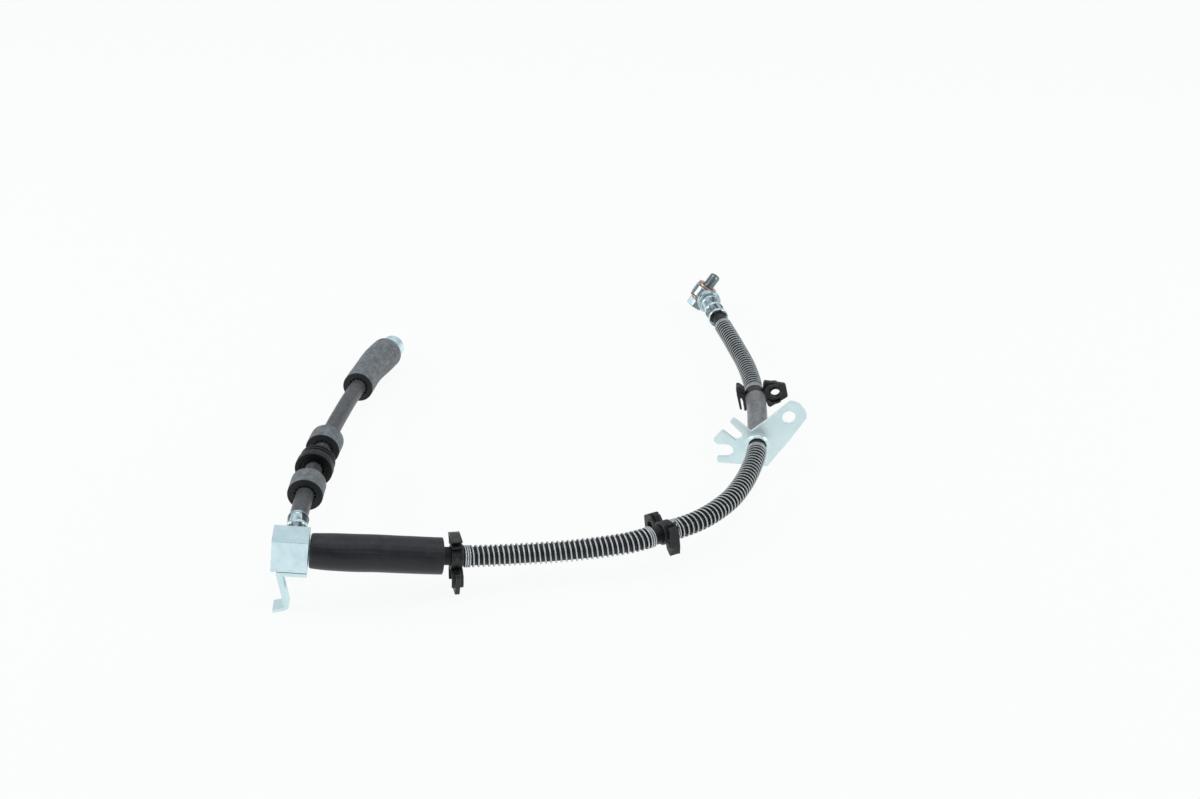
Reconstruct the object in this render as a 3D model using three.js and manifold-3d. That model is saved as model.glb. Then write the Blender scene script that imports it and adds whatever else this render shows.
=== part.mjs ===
// Front brake hose assembly: a junction block, a short hose to a female pipe fitting, and a long hose
// with spring guards, clips and a bracket to a banjo fitting. Millimetres, +Z up, real size. It lies on
// a table as it does in use on a bench: the block's foot, the first clip, the bracket's lower edge, the
// grey end sleeve and the banjo bolt's head touch the table at Z = 0.

import * as THREE from 'three';
import { mergeVertices } from 'three/addons/utils/BufferGeometryUtils.js';
import Module from 'manifold-3d';

const wasm = await Module();
wasm.setup();

// Clearances
const seatGap = 0.3;
const coilGap = 0.12;
const overrun = 1;

// Hoses
const hoseDiameter = 10.5;
const hoseBore = 3.6;
const hoseSides = 12;
const boreSides = 5;
const mainHoseSteps = 60;
const linkHoseSteps = 16;

// Route of the long hose's centre line, from its end in the block's side ferrule
const mainRoutePoints = [
  [-133.4, -187.6, 36.2],
  [-124.5, -186.7, 35],
  [-113.5, -184.6, 33.1],
  [-102.5, -181.7, 30.9],
  [-92, -179.2, 28.7],
  [-81, -176.7, 26.6],
  [-70, -174.7, 24.7],
  [-61, -172.9, 23.4],
  [-55.5, -171.7, 22.4],
  [-45, -169.2, 20.9],
  [-31, -166.2, 19.7],
  [-20, -164.2, 19.2],
  [-2.5, -161.7, 19.1],
  [15, -158.9, 19.3],
  [32, -155, 19.5],
  [43.6, -151.5, 19.6],
  [52.6, -147.2, 19.6],
  [61.7, -141.5, 19.5],
  [73.2, -135.1, 19.2],
  [84.1, -127.3, 18.8],
  [94.8, -116.4, 18.4],
  [105.3, -102.3, 18],
  [113.7, -85.4, 17.7],
  [120.2, -67.7, 17.4],
  [125, -49.9, 17.1],
  [127.6, -33.1, 17],
  [129.2, -12.7, 16.8],
  [130.4, 10, 16.4],
  [130.6, 27.3, 16.1],
  [129.8, 51.3, 15.8],
  [127.1, 74.3, 15.6],
  [123.6, 91.8, 15.6],
  [119.9, 109.6, 15.6],
  [116.4, 125.3, 15.6],
  [111.4, 150.3, 15],
  [107.9, 167.9, 14.65],
];

// Route of the short hose's centre line, from its end in the block's rear ferrule
const linkRoutePoints = [
  [-144.6, -178.5, 37.6],
  [-145.9, -165.3, 37.6],
  [-146.9, -152.5, 37.3],
  [-147.4, -131.7, 36.3],
  [-147.7, -119.7, 35.5],
  [-147.8, -105.7, 34.5],
  [-147.5, -92.7, 33.4],
  [-146.9, -74.7, 32],
  [-146.2, -57.7, 30.4],
  [-145.4, -41.7, 28.9],
  [-144, -23.7, 27.1],
  [-142.2, -2.7, 24.8],
  [-140, 17.3, 22.3],
  [-138.4, 35.3, 19.8],
  [-136.5, 52.8, 17.2],
  [-134.1, 69.4, 14.2],
  [-131.3, 82.9, 12],
];

// Junction block, in its own frame: x to the side port, y to the rear port, z up
const blockWidth = 20;
const blockDepth = 16;
const blockHeight = 20.5;
const blockChamfer = 0.6;
const blockCentre = [-145.3, -188.7, 37.8];
const blockYaw = 5.5;
const blockLean = 7.5;
const rearPortShift = 1.7;
const portDiameter = 6.2;
const portDepth = 4.6;
const passageDiameter = 3;

// Sheet bracket under the block: a plate, a slotted leg and a foot, front edges flush with the block
const blockSheet = 2.5;
const blockPlateDepth = 15;
const blockPlateLeft = 7;
const blockPlateRight = 10;
const legDepth = 9;
const legDrop = 24.1;
const legRun = 5.6;
const footReach = 6.4;
const legSlotLength = 9;
const legSlotWidth = 5;
const legSlotDrop = 9;

// Crimped ferrules
const ferruleDiameter = 12.8;
const ferruleLength = 22;
const ferruleEndWall = 1.5;
const crimpDepth = 0.6;
const crimpRing = 3;
const endFerruleLength = 20;
const banjoFerruleDiameter = 14.4;
const banjoFerruleLength = 26.5;

// Hose nipples
const nippleDiameter = 2.4;
const nippleBore = 1.5;
const nippleReach = 12;
const nippleShankDiameter = 5.4;
const nippleShankLength = 3.8;

// Grey bushes, black spool grommet and grey end sleeve on the short hose
const toothCount = 14;
const toothRootDiameter = 13;
const bushDiameter = 21;
const bushLength = 14.2;
const bushPlaces = [45.2, 101.8];
const spoolDiameter = 23;
const spoolFlangeDiameter = 22;
const spoolGrooveDiameter = 17.5;
const spoolFront = 8.5;
const spoolGroove = 2.4;
const spoolFlange = 2.4;
const spoolPlace = 75.2;
const endSleeveDiameter = 20.4;
const endSleeveMouthDiameter = 22.2;
const endSleeveLength = 71;
const endSleeveOverhang = 5.4;
const endSleeveWall = 2.3;

// Female pipe fitting at the short hose's end
const endFittingDiameter = 16.5;
const endFittingLength = 19;
const endFittingBore = 9;
const endFittingBoreDepth = 13;
const endFittingRim = 1.2;

// Black protective sleeve beside the block
const guardSleeveDiameter = 21.2;
const guardSleeveLength = 74.6;
const guardSleeveStart = -1.5;
const guardSleeveEdge = 2.2;

// Clips, in a frame that looks back along the hose: x towards the plate, z along the hose
const clipWidth = 6.8;
const clipStandoff = 7.4;
const clipSpacing = 125;
const clipBandWall = 1.5;
const clipPlateSheet = 2.8;
const clipPlateReach = 22;
const clipPlateShoulder = 14.2;
const clipPlateHalf = 8.2;
const clipPlateTip = 4.6;
const clipBarbReach = 8.6;
const clipBarbHalf = 10.4;
const clipHoleDiameter = 6.4;
const clipHoleReach = 14;
const clipRimReach = 16.6;
const clipRimWall = 1.6;
const anchorWidth = 6;

// Spring guards of round wire, drawn with a three-sided section
const wireDiameter = 1.3;
const coilSides = 8;
const closedTurns = 3;
const closedPitch = 1.35;
const springPitches = [3, 3.05, 2.8];
const springTailGap = 4;
const springRest = 5.2;

// Support bracket on the long hose, in its own frame: x to the right seen along the hose, y up
const bracketSheet = 2;
const bracketPlace = 332.3;
const bracketHeight = 17;
const bracketLobe = [18.6, 20.6];
const bracketLobeRadius = 11.3;
const bracketHoleDiameter = 8.6;
const bracketLowerRight = 7.4;
const bracketNotch = [-4.9, 8.9];
const upperProng = [[-16.2, 17.6], [-18.5, 14]];
const upperSlotCentre = [-13.9, 4.9];
const upperSlotRadius = 3.3;
const upperSlotTurn = 142;
const middleProng = [[-22.9, 7.9], [-29, 0.1], [-25.9, -3.1]];
const lowerSlotCentre = [-19.9, -7.3];
const lowerSlotRadius = 4.5;
const lowerSlotTurn = 176;
const lowerProngLeft = -25.4;
const lobeBend = 8;
const bendLinePoint = [5.4, 17];
const bendLineEnd = [22.1, 5];
const collarLipDiameter = 12.6;
const collarBaseDiameter = 16.5;
const collarRise = 3;

// Grey sleeve between the bracket and the third clip
const bracketSleeveDiameter = 13.6;
const bracketSleeveLength = 57.2;

// Banjo fitting, bolt and washers
const banjoReach = 21.8;
const banjoTilt = 34.4;
const eyeDiameter = 17;
const eyeHeight = 9.1;
const eyeBore = 9.2;
const banjoCollarDiameter = 17.6;
const banjoCollarLength = 6;
const banjoNeckDiameter = 9;
const boltDiameter = 8.4;
const boltHeadFlats = 12;
const boltHeadHeight = 6.5;
const boltReach = 10;
const boltBore = 3.4;
const boltCrossBore = 2.6;
const washerDiameter = 16;
const washerBore = 9.2;
const washerThickness = 1.3;

// Values that follow from the sizes above
const hoseRadius = hoseDiameter / 2;
const seatRadius = hoseRadius + seatGap;
const clipBandRadius = seatRadius + clipBandWall;
const ferruleBack = ferruleEndWall + seatGap;
const halfClip = clipWidth / 2;
const firstClip = guardSleeveStart + guardSleeveLength + clipStandoff;
const sleeveStart = bracketPlace + bracketSheet + seatGap;
const sleeveEnd = sleeveStart + bracketSleeveLength;
const clips = [
  { name: 'clip_1', place: firstClip, plateAngle: -101.5, lean: -6, flipped: false },
  { name: 'clip_2', place: firstClip + clipSpacing, plateAngle: -16, lean: 0, flipped: true },
  { name: 'clip_3', place: sleeveEnd + seatGap + halfClip, plateAngle: 166, lean: 0, flipped: true },
];
const up = new THREE.Vector3(0, 0, 1);

// Colours, roughness and metalness of the finishes
const finishes = {
  zinc: { color: 0xa9c3cc, roughness: 0.35, metalness: 0.9 },
  zincDull: { color: 0x8fa9b1, roughness: 0.5, metalness: 0.85 },
  springSteel: { color: 0xb4babb, roughness: 0.4, metalness: 0.8 },
  copper: { color: 0xc98a6a, roughness: 0.4, metalness: 0.9 },
  blackRubber: { color: 0x2b2c2e, roughness: 0.7, metalness: 0 },
  hoseRubber: { color: 0x35383a, roughness: 0.6, metalness: 0 },
  greyRubber: { color: 0x7c8082, roughness: 0.75, metalness: 0 },
  blackPlastic: { color: 0x2e2e30, roughness: 0.5, metalness: 0 },
};

// A closed three.js geometry as a solid that can be joined and cut
function solid(geometry) {
  const plain = geometry.clone();
  plain.deleteAttribute('normal');
  plain.deleteAttribute('uv');
  const merged = mergeVertices(plain, 1e-4);
  return new wasm.Manifold(new wasm.Mesh({
    numProp: 3,
    vertProperties: new Float32Array(merged.attributes.position.array),
    triVerts: new Uint32Array(merged.index.array),
  }));
}

// A solid back as a three.js geometry
function geometryOf(body) {
  const mesh = body.getMesh();
  const geometry = new THREE.BufferGeometry();
  geometry.setAttribute('position', new THREE.BufferAttribute(new Float32Array(mesh.vertProperties), 3));
  geometry.setIndex(new THREE.BufferAttribute(new Uint32Array(mesh.triVerts), 1));
  geometry.computeVertexNormals();
  return geometry;
}

// First geometry joined with the second list and cut by the third
function combine(first, joined, cut) {
  let body = solid(first);
  for (const geometry of joined) body = body.add(solid(geometry));
  for (const geometry of cut) body = body.subtract(solid(geometry));
  return geometryOf(body);
}

// Turned piece about +Z from pairs of radius and height, in an order that runs up its outside
function turned(profile, sides) {
  const points = profile.map(([radius, height]) => new THREE.Vector2(radius, height));
  return new THREE.LatheGeometry(points, sides).rotateX(Math.PI / 2);
}

// Profile with its long stretches divided, so that a turned piece can follow a bend
function divided(profile, longest = 10.5) {
  const points = [profile[0]];
  for (let i = 1; i < profile.length; i += 1) {
    const [radius, height] = profile[i - 1];
    const [nextRadius, nextHeight] = profile[i];
    const parts = Math.max(1, Math.ceil(Math.abs(nextHeight - height) / longest));
    for (let part = 1; part <= parts; part += 1) {
      const share = part / parts;
      points.push([radius + (nextRadius - radius) * share, height + (nextHeight - height) * share]);
    }
  }
  return points;
}

// Ring about +Z with a plain bore
function ring(innerRadius, outerRadius, low, high, sides) {
  return turned([
    [innerRadius, low],
    [outerRadius, low],
    [outerRadius, high],
    [innerRadius, high],
    [innerRadius, low],
  ], sides);
}

// Solid cylinder about +Z between two heights
function rod(radius, low, high, sides) {
  const geometry = new THREE.CylinderGeometry(radius, radius, high - low, sides);
  return geometry.rotateX(Math.PI / 2).translate(0, 0, (low + high) / 2);
}

// Flat outline given as pairs of numbers
function outline(points) {
  return new THREE.Shape(points.map(([x, y]) => new THREE.Vector2(x, y)));
}

// Outline extruded along +Z between two heights
function prism(shape, low, high, steps = 1, curveSegments = 8) {
  const settings = { depth: high - low, steps, bevelEnabled: false, curveSegments };
  return new THREE.ExtrudeGeometry(shape, settings).translate(0, 0, low);
}

// Circle about a point as a closed path
function circle(x, y, radius) {
  return new THREE.Path().absarc(x, y, radius, 0, 2 * Math.PI, true);
}

// Smooth centre line through hand-chosen points
function route(points) {
  const curve = new THREE.CatmullRomCurve3(points.map((p) => new THREE.Vector3(...p)), false, 'centripetal');
  curve.arcLengthDivisions = 600;
  return curve;
}

// Frame of a route at a distance from its start: x left of travel, y up, z along it, straight past its ends
function frameAt(curve, distance) {
  const length = curve.getLength();
  const inside = THREE.MathUtils.clamp(distance, 0, length);
  const along = curve.getTangentAt(inside / length);
  const left = new THREE.Vector3().crossVectors(up, along).normalize();
  const over = new THREE.Vector3().crossVectors(along, left);
  const point = curve.getPointAt(inside / length).addScaledVector(along, distance - inside);
  return new THREE.Matrix4().makeBasis(left, over, along).setPosition(point);
}

// Straight geometry about +Z bent along a route, its height zero at the given place
function bent(geometry, curve, place) {
  const merged = geometry.clone();
  const position = merged.attributes.position;
  const frames = new Map();
  const point = new THREE.Vector3();
  for (let i = 0; i < position.count; i += 1) {
    point.fromBufferAttribute(position, i);
    const key = point.z.toFixed(3);
    if (!frames.has(key)) frames.set(key, frameAt(curve, place + Number(key)));
    point.z = 0;
    point.applyMatrix4(frames.get(key));
    position.setXYZ(i, point.x, point.y, point.z);
  }
  merged.computeVertexNormals();
  return merged;
}

// Toothed bore round a hose: square teeth that grip it, with gaps between them
function toothedBore() {
  const path = new THREE.Path();
  const pitch = (2 * Math.PI) / toothCount;
  const rootRadius = toothRootDiameter / 2;
  const corners = [
    [seatRadius, -0.24],
    [seatRadius, 0.24],
    [rootRadius, 0.3],
    [rootRadius, 0.7],
  ];
  for (let tooth = 0; tooth < toothCount; tooth += 1) {
    for (const [radius, share] of corners) {
      const angle = (tooth + share) * pitch;
      const x = radius * Math.cos(angle);
      const y = radius * Math.sin(angle);
      if (tooth === 0 && share === corners[0][1]) path.moveTo(x, y);
      else path.lineTo(x, y);
    }
  }
  return path;
}

const root = new THREE.Group();
root.name = 'brake_hose';

// Named mesh with its own material, put in the given group
function addPiece(name, geometry, finish, parent = root) {
  const mesh = new THREE.Mesh(geometry, new THREE.MeshStandardMaterial(finishes[finish]));
  mesh.name = name;
  parent.add(mesh);
  return mesh;
}

const mainRoute = route(mainRoutePoints);
const linkRoute = route(linkRoutePoints);
const mainLength = mainRoute.getLength();
const linkLength = linkRoute.getLength();
const endSleevePlace = linkLength + endSleeveOverhang - endSleeveLength;

// Hose: rubber tube along its route
function hose(curve, steps) {
  const section = new THREE.Shape().absarc(0, 0, hoseRadius, 0, 2 * Math.PI, false);
  section.holes.push(circle(0, 0, hoseBore / 2));
  const rim = new THREE.Shape(section.getSpacedPoints(hoseSides).slice(0, hoseSides));
  rim.holes.push(new THREE.Path(section.holes[0].getSpacedPoints(boreSides).slice(0, boreSides)));
  return new THREE.ExtrudeGeometry(rim, { steps, extrudePath: curve, bevelEnabled: false });
}

// Junction block with its two ports and the passages between them
function junctionBlock() {
  const halfWidth = blockWidth / 2;
  const halfDepth = blockDepth / 2;
  const face = outline([
    [-halfWidth + blockChamfer, -halfDepth],
    [halfWidth - blockChamfer, -halfDepth],
    [halfWidth, -halfDepth + blockChamfer],
    [halfWidth, halfDepth - blockChamfer],
    [halfWidth - blockChamfer, halfDepth],
    [-halfWidth + blockChamfer, halfDepth],
    [-halfWidth, halfDepth - blockChamfer],
    [-halfWidth, -halfDepth + blockChamfer],
  ]);
  const body = prism(face, -blockHeight / 2, blockHeight / 2);
  const sidePort = rod(portDiameter / 2, halfWidth - portDepth, halfWidth + overrun, 16);
  const sidePassage = rod(passageDiameter / 2, rearPortShift, halfWidth, 10);
  const rearPort = rod(portDiameter / 2, halfDepth - portDepth, halfDepth + overrun, 16);
  const rearPassage = rod(passageDiameter / 2, 0, halfDepth, 10);
  for (const geometry of [sidePort, sidePassage]) geometry.rotateY(Math.PI / 2);
  for (const geometry of [rearPort, rearPassage]) geometry.rotateX(-Math.PI / 2).translate(rearPortShift, 0, 0);
  return combine(body, [], [sidePort, sidePassage, rearPort, rearPassage]);
}

// Bracket under the block: plate to the right, leg down and foot to the left, cut from one folded sheet
function blockBracket() {
  const top = -blockHeight / 2 - seatGap;
  const low = top - blockSheet;
  const legLow = top - legDrop;
  const slope = legRun / legDrop;
  const front = -blockDepth / 2;
  const footDrop = footReach * 0.3;
  const legSide = blockSheet / Math.cos(Math.atan(slope));
  const plate = outline([[-blockPlateLeft, low], [blockPlateRight, low], [blockPlateRight, top],
    [-blockPlateLeft + 1, top], [-blockPlateLeft, top - 1]]);
  const leg = outline([
    [-blockPlateLeft, top - 1],
    [-blockPlateLeft + legRun, legLow],
    [-blockPlateLeft + legRun - footReach, legLow - footDrop],
    [-blockPlateLeft + legRun - footReach, legLow - footDrop - blockSheet],
    [-blockPlateLeft + legRun + 0.6, legLow - blockSheet + 0.4],
    [-blockPlateLeft + legRun + legSide, legLow - 0.6],
    [-blockPlateLeft + legSide + 0.3, top - 1],
  ]);
  const standing = [prism(plate, -front - blockPlateDepth, -front), prism(leg, -front - legDepth, -front)];
  const halfSlot = (legSlotLength - legSlotWidth) / 2;
  const slot = new THREE.Shape();
  slot.absarc(0, halfSlot, legSlotWidth / 2, 0, Math.PI, false);
  slot.absarc(0, -halfSlot, legSlotWidth / 2, Math.PI, 2 * Math.PI, false);
  const cutter = prism(slot, -blockPlateLeft, blockPlateRight, 1, 6);
  cutter.rotateY(Math.PI / 2).rotateX(Math.PI / 2);
  cutter.translate(0, front + legDepth / 2, top - legSlotDrop);
  for (const geometry of standing) geometry.rotateX(Math.PI / 2);
  const whole = combine(standing[0], [standing[1]], [cutter]);
  return whole;
}

// Crimped ferrule: a cup over the hose's end, with two crimped bands, its end wall towards the fitting
function ferrule(diameter, length, sides = 14) {
  const outer = diameter / 2;
  const band = outer - crimpDepth;
  const wallHole = nippleDiameter / 2 + seatGap;
  const half = (length - crimpRing) / 2;
  return turned(divided([
    [wallHole, 0],
    [outer, 0],
    [outer, crimpRing],
    [band, crimpRing + 0.6],
    [band, half],
    [outer, half + 0.6],
    [outer, half + crimpRing],
    [band, half + crimpRing + 0.6],
    [band, length - crimpRing],
    [outer, length - crimpRing + 0.6],
    [outer, length - 0.5],
    [outer - 0.5, length],
    [seatRadius, length],
    [seatRadius, ferruleEndWall],
    [wallHole, ferruleEndWall],
    [wallHole, 0],
  ]), sides);
}

// Nipple: a stepped tube from the block's port into the hose's bore, its height zero at the hose's end
function nipple() {
  const bore = nippleBore / 2;
  const stem = nippleDiameter / 2;
  const shank = nippleShankDiameter / 2;
  const shoulder = -ferruleBack - seatGap;
  const low = shoulder - nippleShankLength;
  return turned([
    [bore, low],
    [shank, low],
    [shank, shoulder],
    [stem, shoulder],
    [stem, nippleReach],
    [bore, nippleReach],
    [bore, low],
  ], 12);
}

// Grey bush with a toothed bore
function bush() {
  const shape = new THREE.Shape().absarc(0, 0, bushDiameter / 2, 0, 2 * Math.PI, false);
  shape.holes.push(toothedBore());
  return prism(shape, 0, bushLength, 1, 12);
}

// Black spool grommet: a drum, a groove and a thin flange, with a toothed bore
function spool() {
  const drum = spoolDiameter / 2;
  const groove = spoolGrooveDiameter / 2;
  const flange = spoolFlangeDiameter / 2;
  const length = spoolFront + spoolGroove + spoolFlange;
  const body = turned([
    [0, 0],
    [drum - 0.8, 0],
    [drum, 0.8],
    [drum, spoolFront],
    [groove, spoolFront],
    [groove, spoolFront + spoolGroove],
    [flange, spoolFront + spoolGroove],
    [flange, length],
    [0, length],
  ], 24);
  const bore = prism(new THREE.Shape(toothedBore().getPoints()), -overrun, length + overrun);
  return combine(bent(body, linkRoute, spoolPlace), [], [bent(bore, linkRoute, spoolPlace)]);
}

// Grey end sleeve: a tube that widens to its far end over the ferrule, toothed where it grips the hose
function endSleeve() {
  const near = endSleeveDiameter / 2;
  const far = endSleeveMouthDiameter / 2;
  const pocket = far - endSleeveWall;
  const ferruleStart = linkLength + ferruleBack - endFerruleLength - endSleevePlace;
  const grip = ferruleStart - seatGap;
  const profile = [
    [0, 0],
    [near, 0],
    [near, 0.14 * endSleeveLength],
    [near - 0.2, 0.3 * endSleeveLength],
    [near, 0.5 * endSleeveLength],
    [far, 0.68 * endSleeveLength],
    [far + 0.1, 0.85 * endSleeveLength],
    [far, endSleeveLength],
    [0, endSleeveLength],
  ];
  const bore = new THREE.Shape(toothedBore().getPoints());
  const cuts = [
    prism(bore, -overrun, grip + overrun, 3),
    turned(divided([[0, grip], [pocket, grip], [pocket, endSleeveLength + overrun],
      [0, endSleeveLength + overrun]]), 22),
  ];
  return combine(bent(turned(divided(profile), 22), linkRoute, endSleevePlace), [],
    cuts.map((cut) => bent(cut, linkRoute, endSleevePlace)));
}

// Female pipe fitting with its nipple, its height zero at the hose's end
function endFitting() {
  const bore = nippleBore / 2;
  const stem = nippleDiameter / 2;
  const outer = endFittingDiameter / 2;
  const low = ferruleBack + seatGap;
  const high = low + endFittingLength;
  const seat = high - endFittingBoreDepth;
  return turned([
    [bore, -nippleReach],
    [stem, -nippleReach],
    [stem, low],
    [outer - 0.6, low],
    [outer, low + 0.6],
    [outer, high - endFittingRim],
    [outer - endFittingRim, high],
    [endFittingBore / 2 + 0.5, high],
    [endFittingBore / 2, high - 0.6],
    [endFittingBore / 2, seat],
    [bore, seat],
    [bore, -nippleReach],
  ], 18);
}

// Black protective sleeve: rounded at the block, thin at its other mouth, over the ferrule and the hose
function guardSleeve() {
  const outer = guardSleeveDiameter / 2;
  const pocket = ferruleDiameter / 2 + seatGap;
  const shoulder = ferruleLength + seatGap;
  return turned(divided([
    [pocket, 0],
    [outer - guardSleeveEdge, 0],
    [outer - 0.7, 0.6],
    [outer, guardSleeveEdge],
    [outer, guardSleeveLength],
    [seatRadius, guardSleeveLength],
    [seatRadius, shoulder],
    [pocket, shoulder],
    [pocket, 0],
  ]), 20);
}

// Clip: a band round the hose, a rimmed plate with a hole on one side and a hooked anchor on the other;
// it may face the other way along the hose, and lean on it a little
function clip(plateAngle, lean, flipped) {
  const halfSheet = clipPlateSheet / 2;
  const neck = clipBandRadius - 1;
  const plate = outline([
    [neck, -4],
    [clipBarbReach - 1.2, -clipBarbHalf + 1],
    [clipBarbReach, -clipBarbHalf],
    [clipPlateShoulder, -clipPlateHalf],
    [clipPlateReach - 0.8, -clipPlateTip - 0.8],
    [clipPlateReach, -clipPlateTip + 0.4],
    [clipPlateReach, clipPlateTip - 0.4],
    [clipPlateReach - 0.8, clipPlateTip + 0.8],
    [clipPlateShoulder, clipPlateHalf],
    [clipBarbReach, clipBarbHalf],
    [clipBarbReach - 1.2, clipBarbHalf - 1],
    [neck, 4],
  ]);
  const rimOuter = outline([
    [neck, -4.2],
    [clipBarbReach + 1, -clipPlateHalf + 0.6],
    [clipPlateShoulder, -clipPlateHalf + 0.6],
    [clipRimReach, -clipPlateHalf + 1.4],
    [clipRimReach, clipPlateHalf - 1.4],
    [clipPlateShoulder, clipPlateHalf - 0.6],
    [clipBarbReach + 1, clipPlateHalf - 0.6],
    [neck, 4.2],
  ]);
  const inner = clipPlateHalf - 0.6 - clipRimWall;
  const rimInner = outline([
    [neck + clipRimWall + 1, -2.6],
    [clipBarbReach + 2.2, -inner],
    [clipRimReach + overrun, -inner + 0.6],
    [clipRimReach + overrun, inner - 0.6],
    [clipBarbReach + 2.2, inner],
    [neck + clipRimWall + 1, 2.6],
  ]);
  const anchor = outline([
    [-neck, -3.6],
    [-8, -8.2],
    [-8.9, -7.7],
    [-8.7, -2.2],
    [-9.5, 0.4],
    [-10.2, -6.2],
    [-11.3, -5.6],
    [-11.7, 6],
    [-10.5, 11.2],
    [-8.9, 10.7],
    [-6.3, 7.4],
    [-neck + 0.4, 4.4],
  ]);
  const hole = rod(clipHoleDiameter / 2, -halfClip - overrun, halfClip + overrun, 14).translate(clipHoleReach, 0, 0);
  const bore = rod(seatRadius, -clipWidth, clipWidth, 18);
  const rim = solid(prism(rimOuter, -halfClip, halfClip));
  const hollow = solid(prism(rimInner, halfSheet, halfClip + overrun));
  const backHollow = solid(prism(rimInner, -halfClip - overrun, -halfSheet));
  const band = solid(rod(clipBandRadius, -halfClip, halfClip, 18));
  const barb = solid(prism(anchor, -anchorWidth / 2, anchorWidth / 2));
  const sheet = solid(prism(plate, -halfSheet, halfSheet));
  const whole = rim.subtract(hollow).subtract(backHollow).add(sheet).add(band).add(barb);
  const set = geometryOf(whole.subtract(solid(hole)).subtract(solid(bore)));
  if (flipped) set.rotateX(Math.PI);
  set.rotateZ(plateAngle * THREE.MathUtils.DEG2RAD).rotateX(lean * THREE.MathUtils.DEG2RAD);
  return combine(set, [], [bore]);
}

// Straight helix about +Z, closed at both ends and open between them
class CoilCurve extends THREE.Curve {
  constructor(radius, length, pitch) {
    super();
    this.radius = radius;
    this.pitch = pitch;
    this.openTurns = Math.round((length - 2 * closedTurns * closedPitch) / pitch);
    this.turns = this.openTurns + 2 * closedTurns;
    this.openPitch = (length - 2 * closedTurns * closedPitch) / this.openTurns;
  }

  heightAt(turn) {
    const first = Math.min(turn, closedTurns) * closedPitch;
    const open = THREE.MathUtils.clamp(turn - closedTurns, 0, this.openTurns) * this.openPitch;
    const last = Math.max(turn - closedTurns - this.openTurns, 0) * closedPitch;
    return first + open + last;
  }

  getPoint(t, target = new THREE.Vector3()) {
    const turn = t * this.turns;
    const angle = turn * 2 * Math.PI;
    return target.set(this.radius * Math.cos(angle), this.radius * Math.sin(angle), this.heightAt(turn));
  }
}

// Spring guard between two places on the long hose
function spring(start, end, pitch) {
  const half = wireDiameter / 2;
  const clear = hoseRadius + coilGap + half;
  const radius = clear / Math.cos(Math.PI / coilSides);
  const coil = new CoilCurve(radius, end - start - wireDiameter, pitch);
  const steps = coil.turns * coilSides;
  coil.arcLengthDivisions = steps * 4;
  const section = outline([0, 1, 2].map((i) => {
    const angle = (i * 2 * Math.PI) / 3;
    return [half * Math.cos(angle), half * Math.sin(angle)];
  }));
  const wire = new THREE.ExtrudeGeometry(section, { steps, extrudePath: coil, bevelEnabled: false });
  return bent(wire, mainRoute, start + half);
}

// Support bracket: one sheet with a drawn collar, a lobe with a round hole, and two hooked slots
function supportBracket() {
  const [lobeX, lobeY] = bracketLobe;
  const corner = [bracketLowerRight, -bracketHeight];
  const shape = new THREE.Shape();
  const reach = Math.hypot(lobeX - corner[0], lobeY - corner[1]);
  const aim = Math.atan2(lobeY - corner[1], lobeX - corner[0]);
  const rightTurn = aim - Math.PI / 2 + Math.asin(bracketLobeRadius / reach);
  const notchReach = Math.hypot(lobeX - bracketNotch[0], lobeY - bracketNotch[1]);
  const notchAim = Math.atan2(lobeY - bracketNotch[1], lobeX - bracketNotch[0]);
  const leftTurn = notchAim + Math.PI / 2 - Math.asin(bracketLobeRadius / notchReach);
  shape.moveTo(...corner);
  shape.absarc(lobeX, lobeY, bracketLobeRadius, rightTurn, leftTurn, false);
  shape.lineTo(...bracketNotch);
  shape.lineTo(...upperProng[0]);
  shape.lineTo(...upperProng[1]);
  slotEdge(shape, upperSlotCentre, upperSlotRadius, upperSlotTurn);
  for (const point of middleProng) shape.lineTo(...point);
  slotEdge(shape, lowerSlotCentre, lowerSlotRadius, lowerSlotTurn);
  shape.lineTo(lowerProngLeft, -bracketHeight + bracketSheet * 2);
  shape.lineTo(lowerProngLeft + 0.7, -bracketHeight);
  shape.closePath();
  const flat = solid(prism(shape, -bracketSheet, 0, 1, 12));
  const folded = foldLobe(flat);
  const lip = collarLipDiameter / 2;
  const base = collarBaseDiameter / 2;
  const collar = turned([
    [0, -bracketSheet],
    [base, -bracketSheet],
    [base, 0],
    [lip + 0.6, collarRise * 0.5],
    [lip, collarRise],
    [0, collarRise],
  ], 20);
  const bore = rod(seatRadius, -bracketSheet - overrun, collarRise + overrun, 20);
  return geometryOf(folded.add(solid(collar)).subtract(solid(bore)));
}

// Round-ended slot as part of an outline that runs clockwise round it, its mouth towards the given turn
function slotEdge(shape, [x, y], radius, turn) {
  const angle = turn * THREE.MathUtils.DEG2RAD;
  shape.absarc(x, y, radius, angle - Math.PI / 2, angle + Math.PI / 2, true);
}

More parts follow.
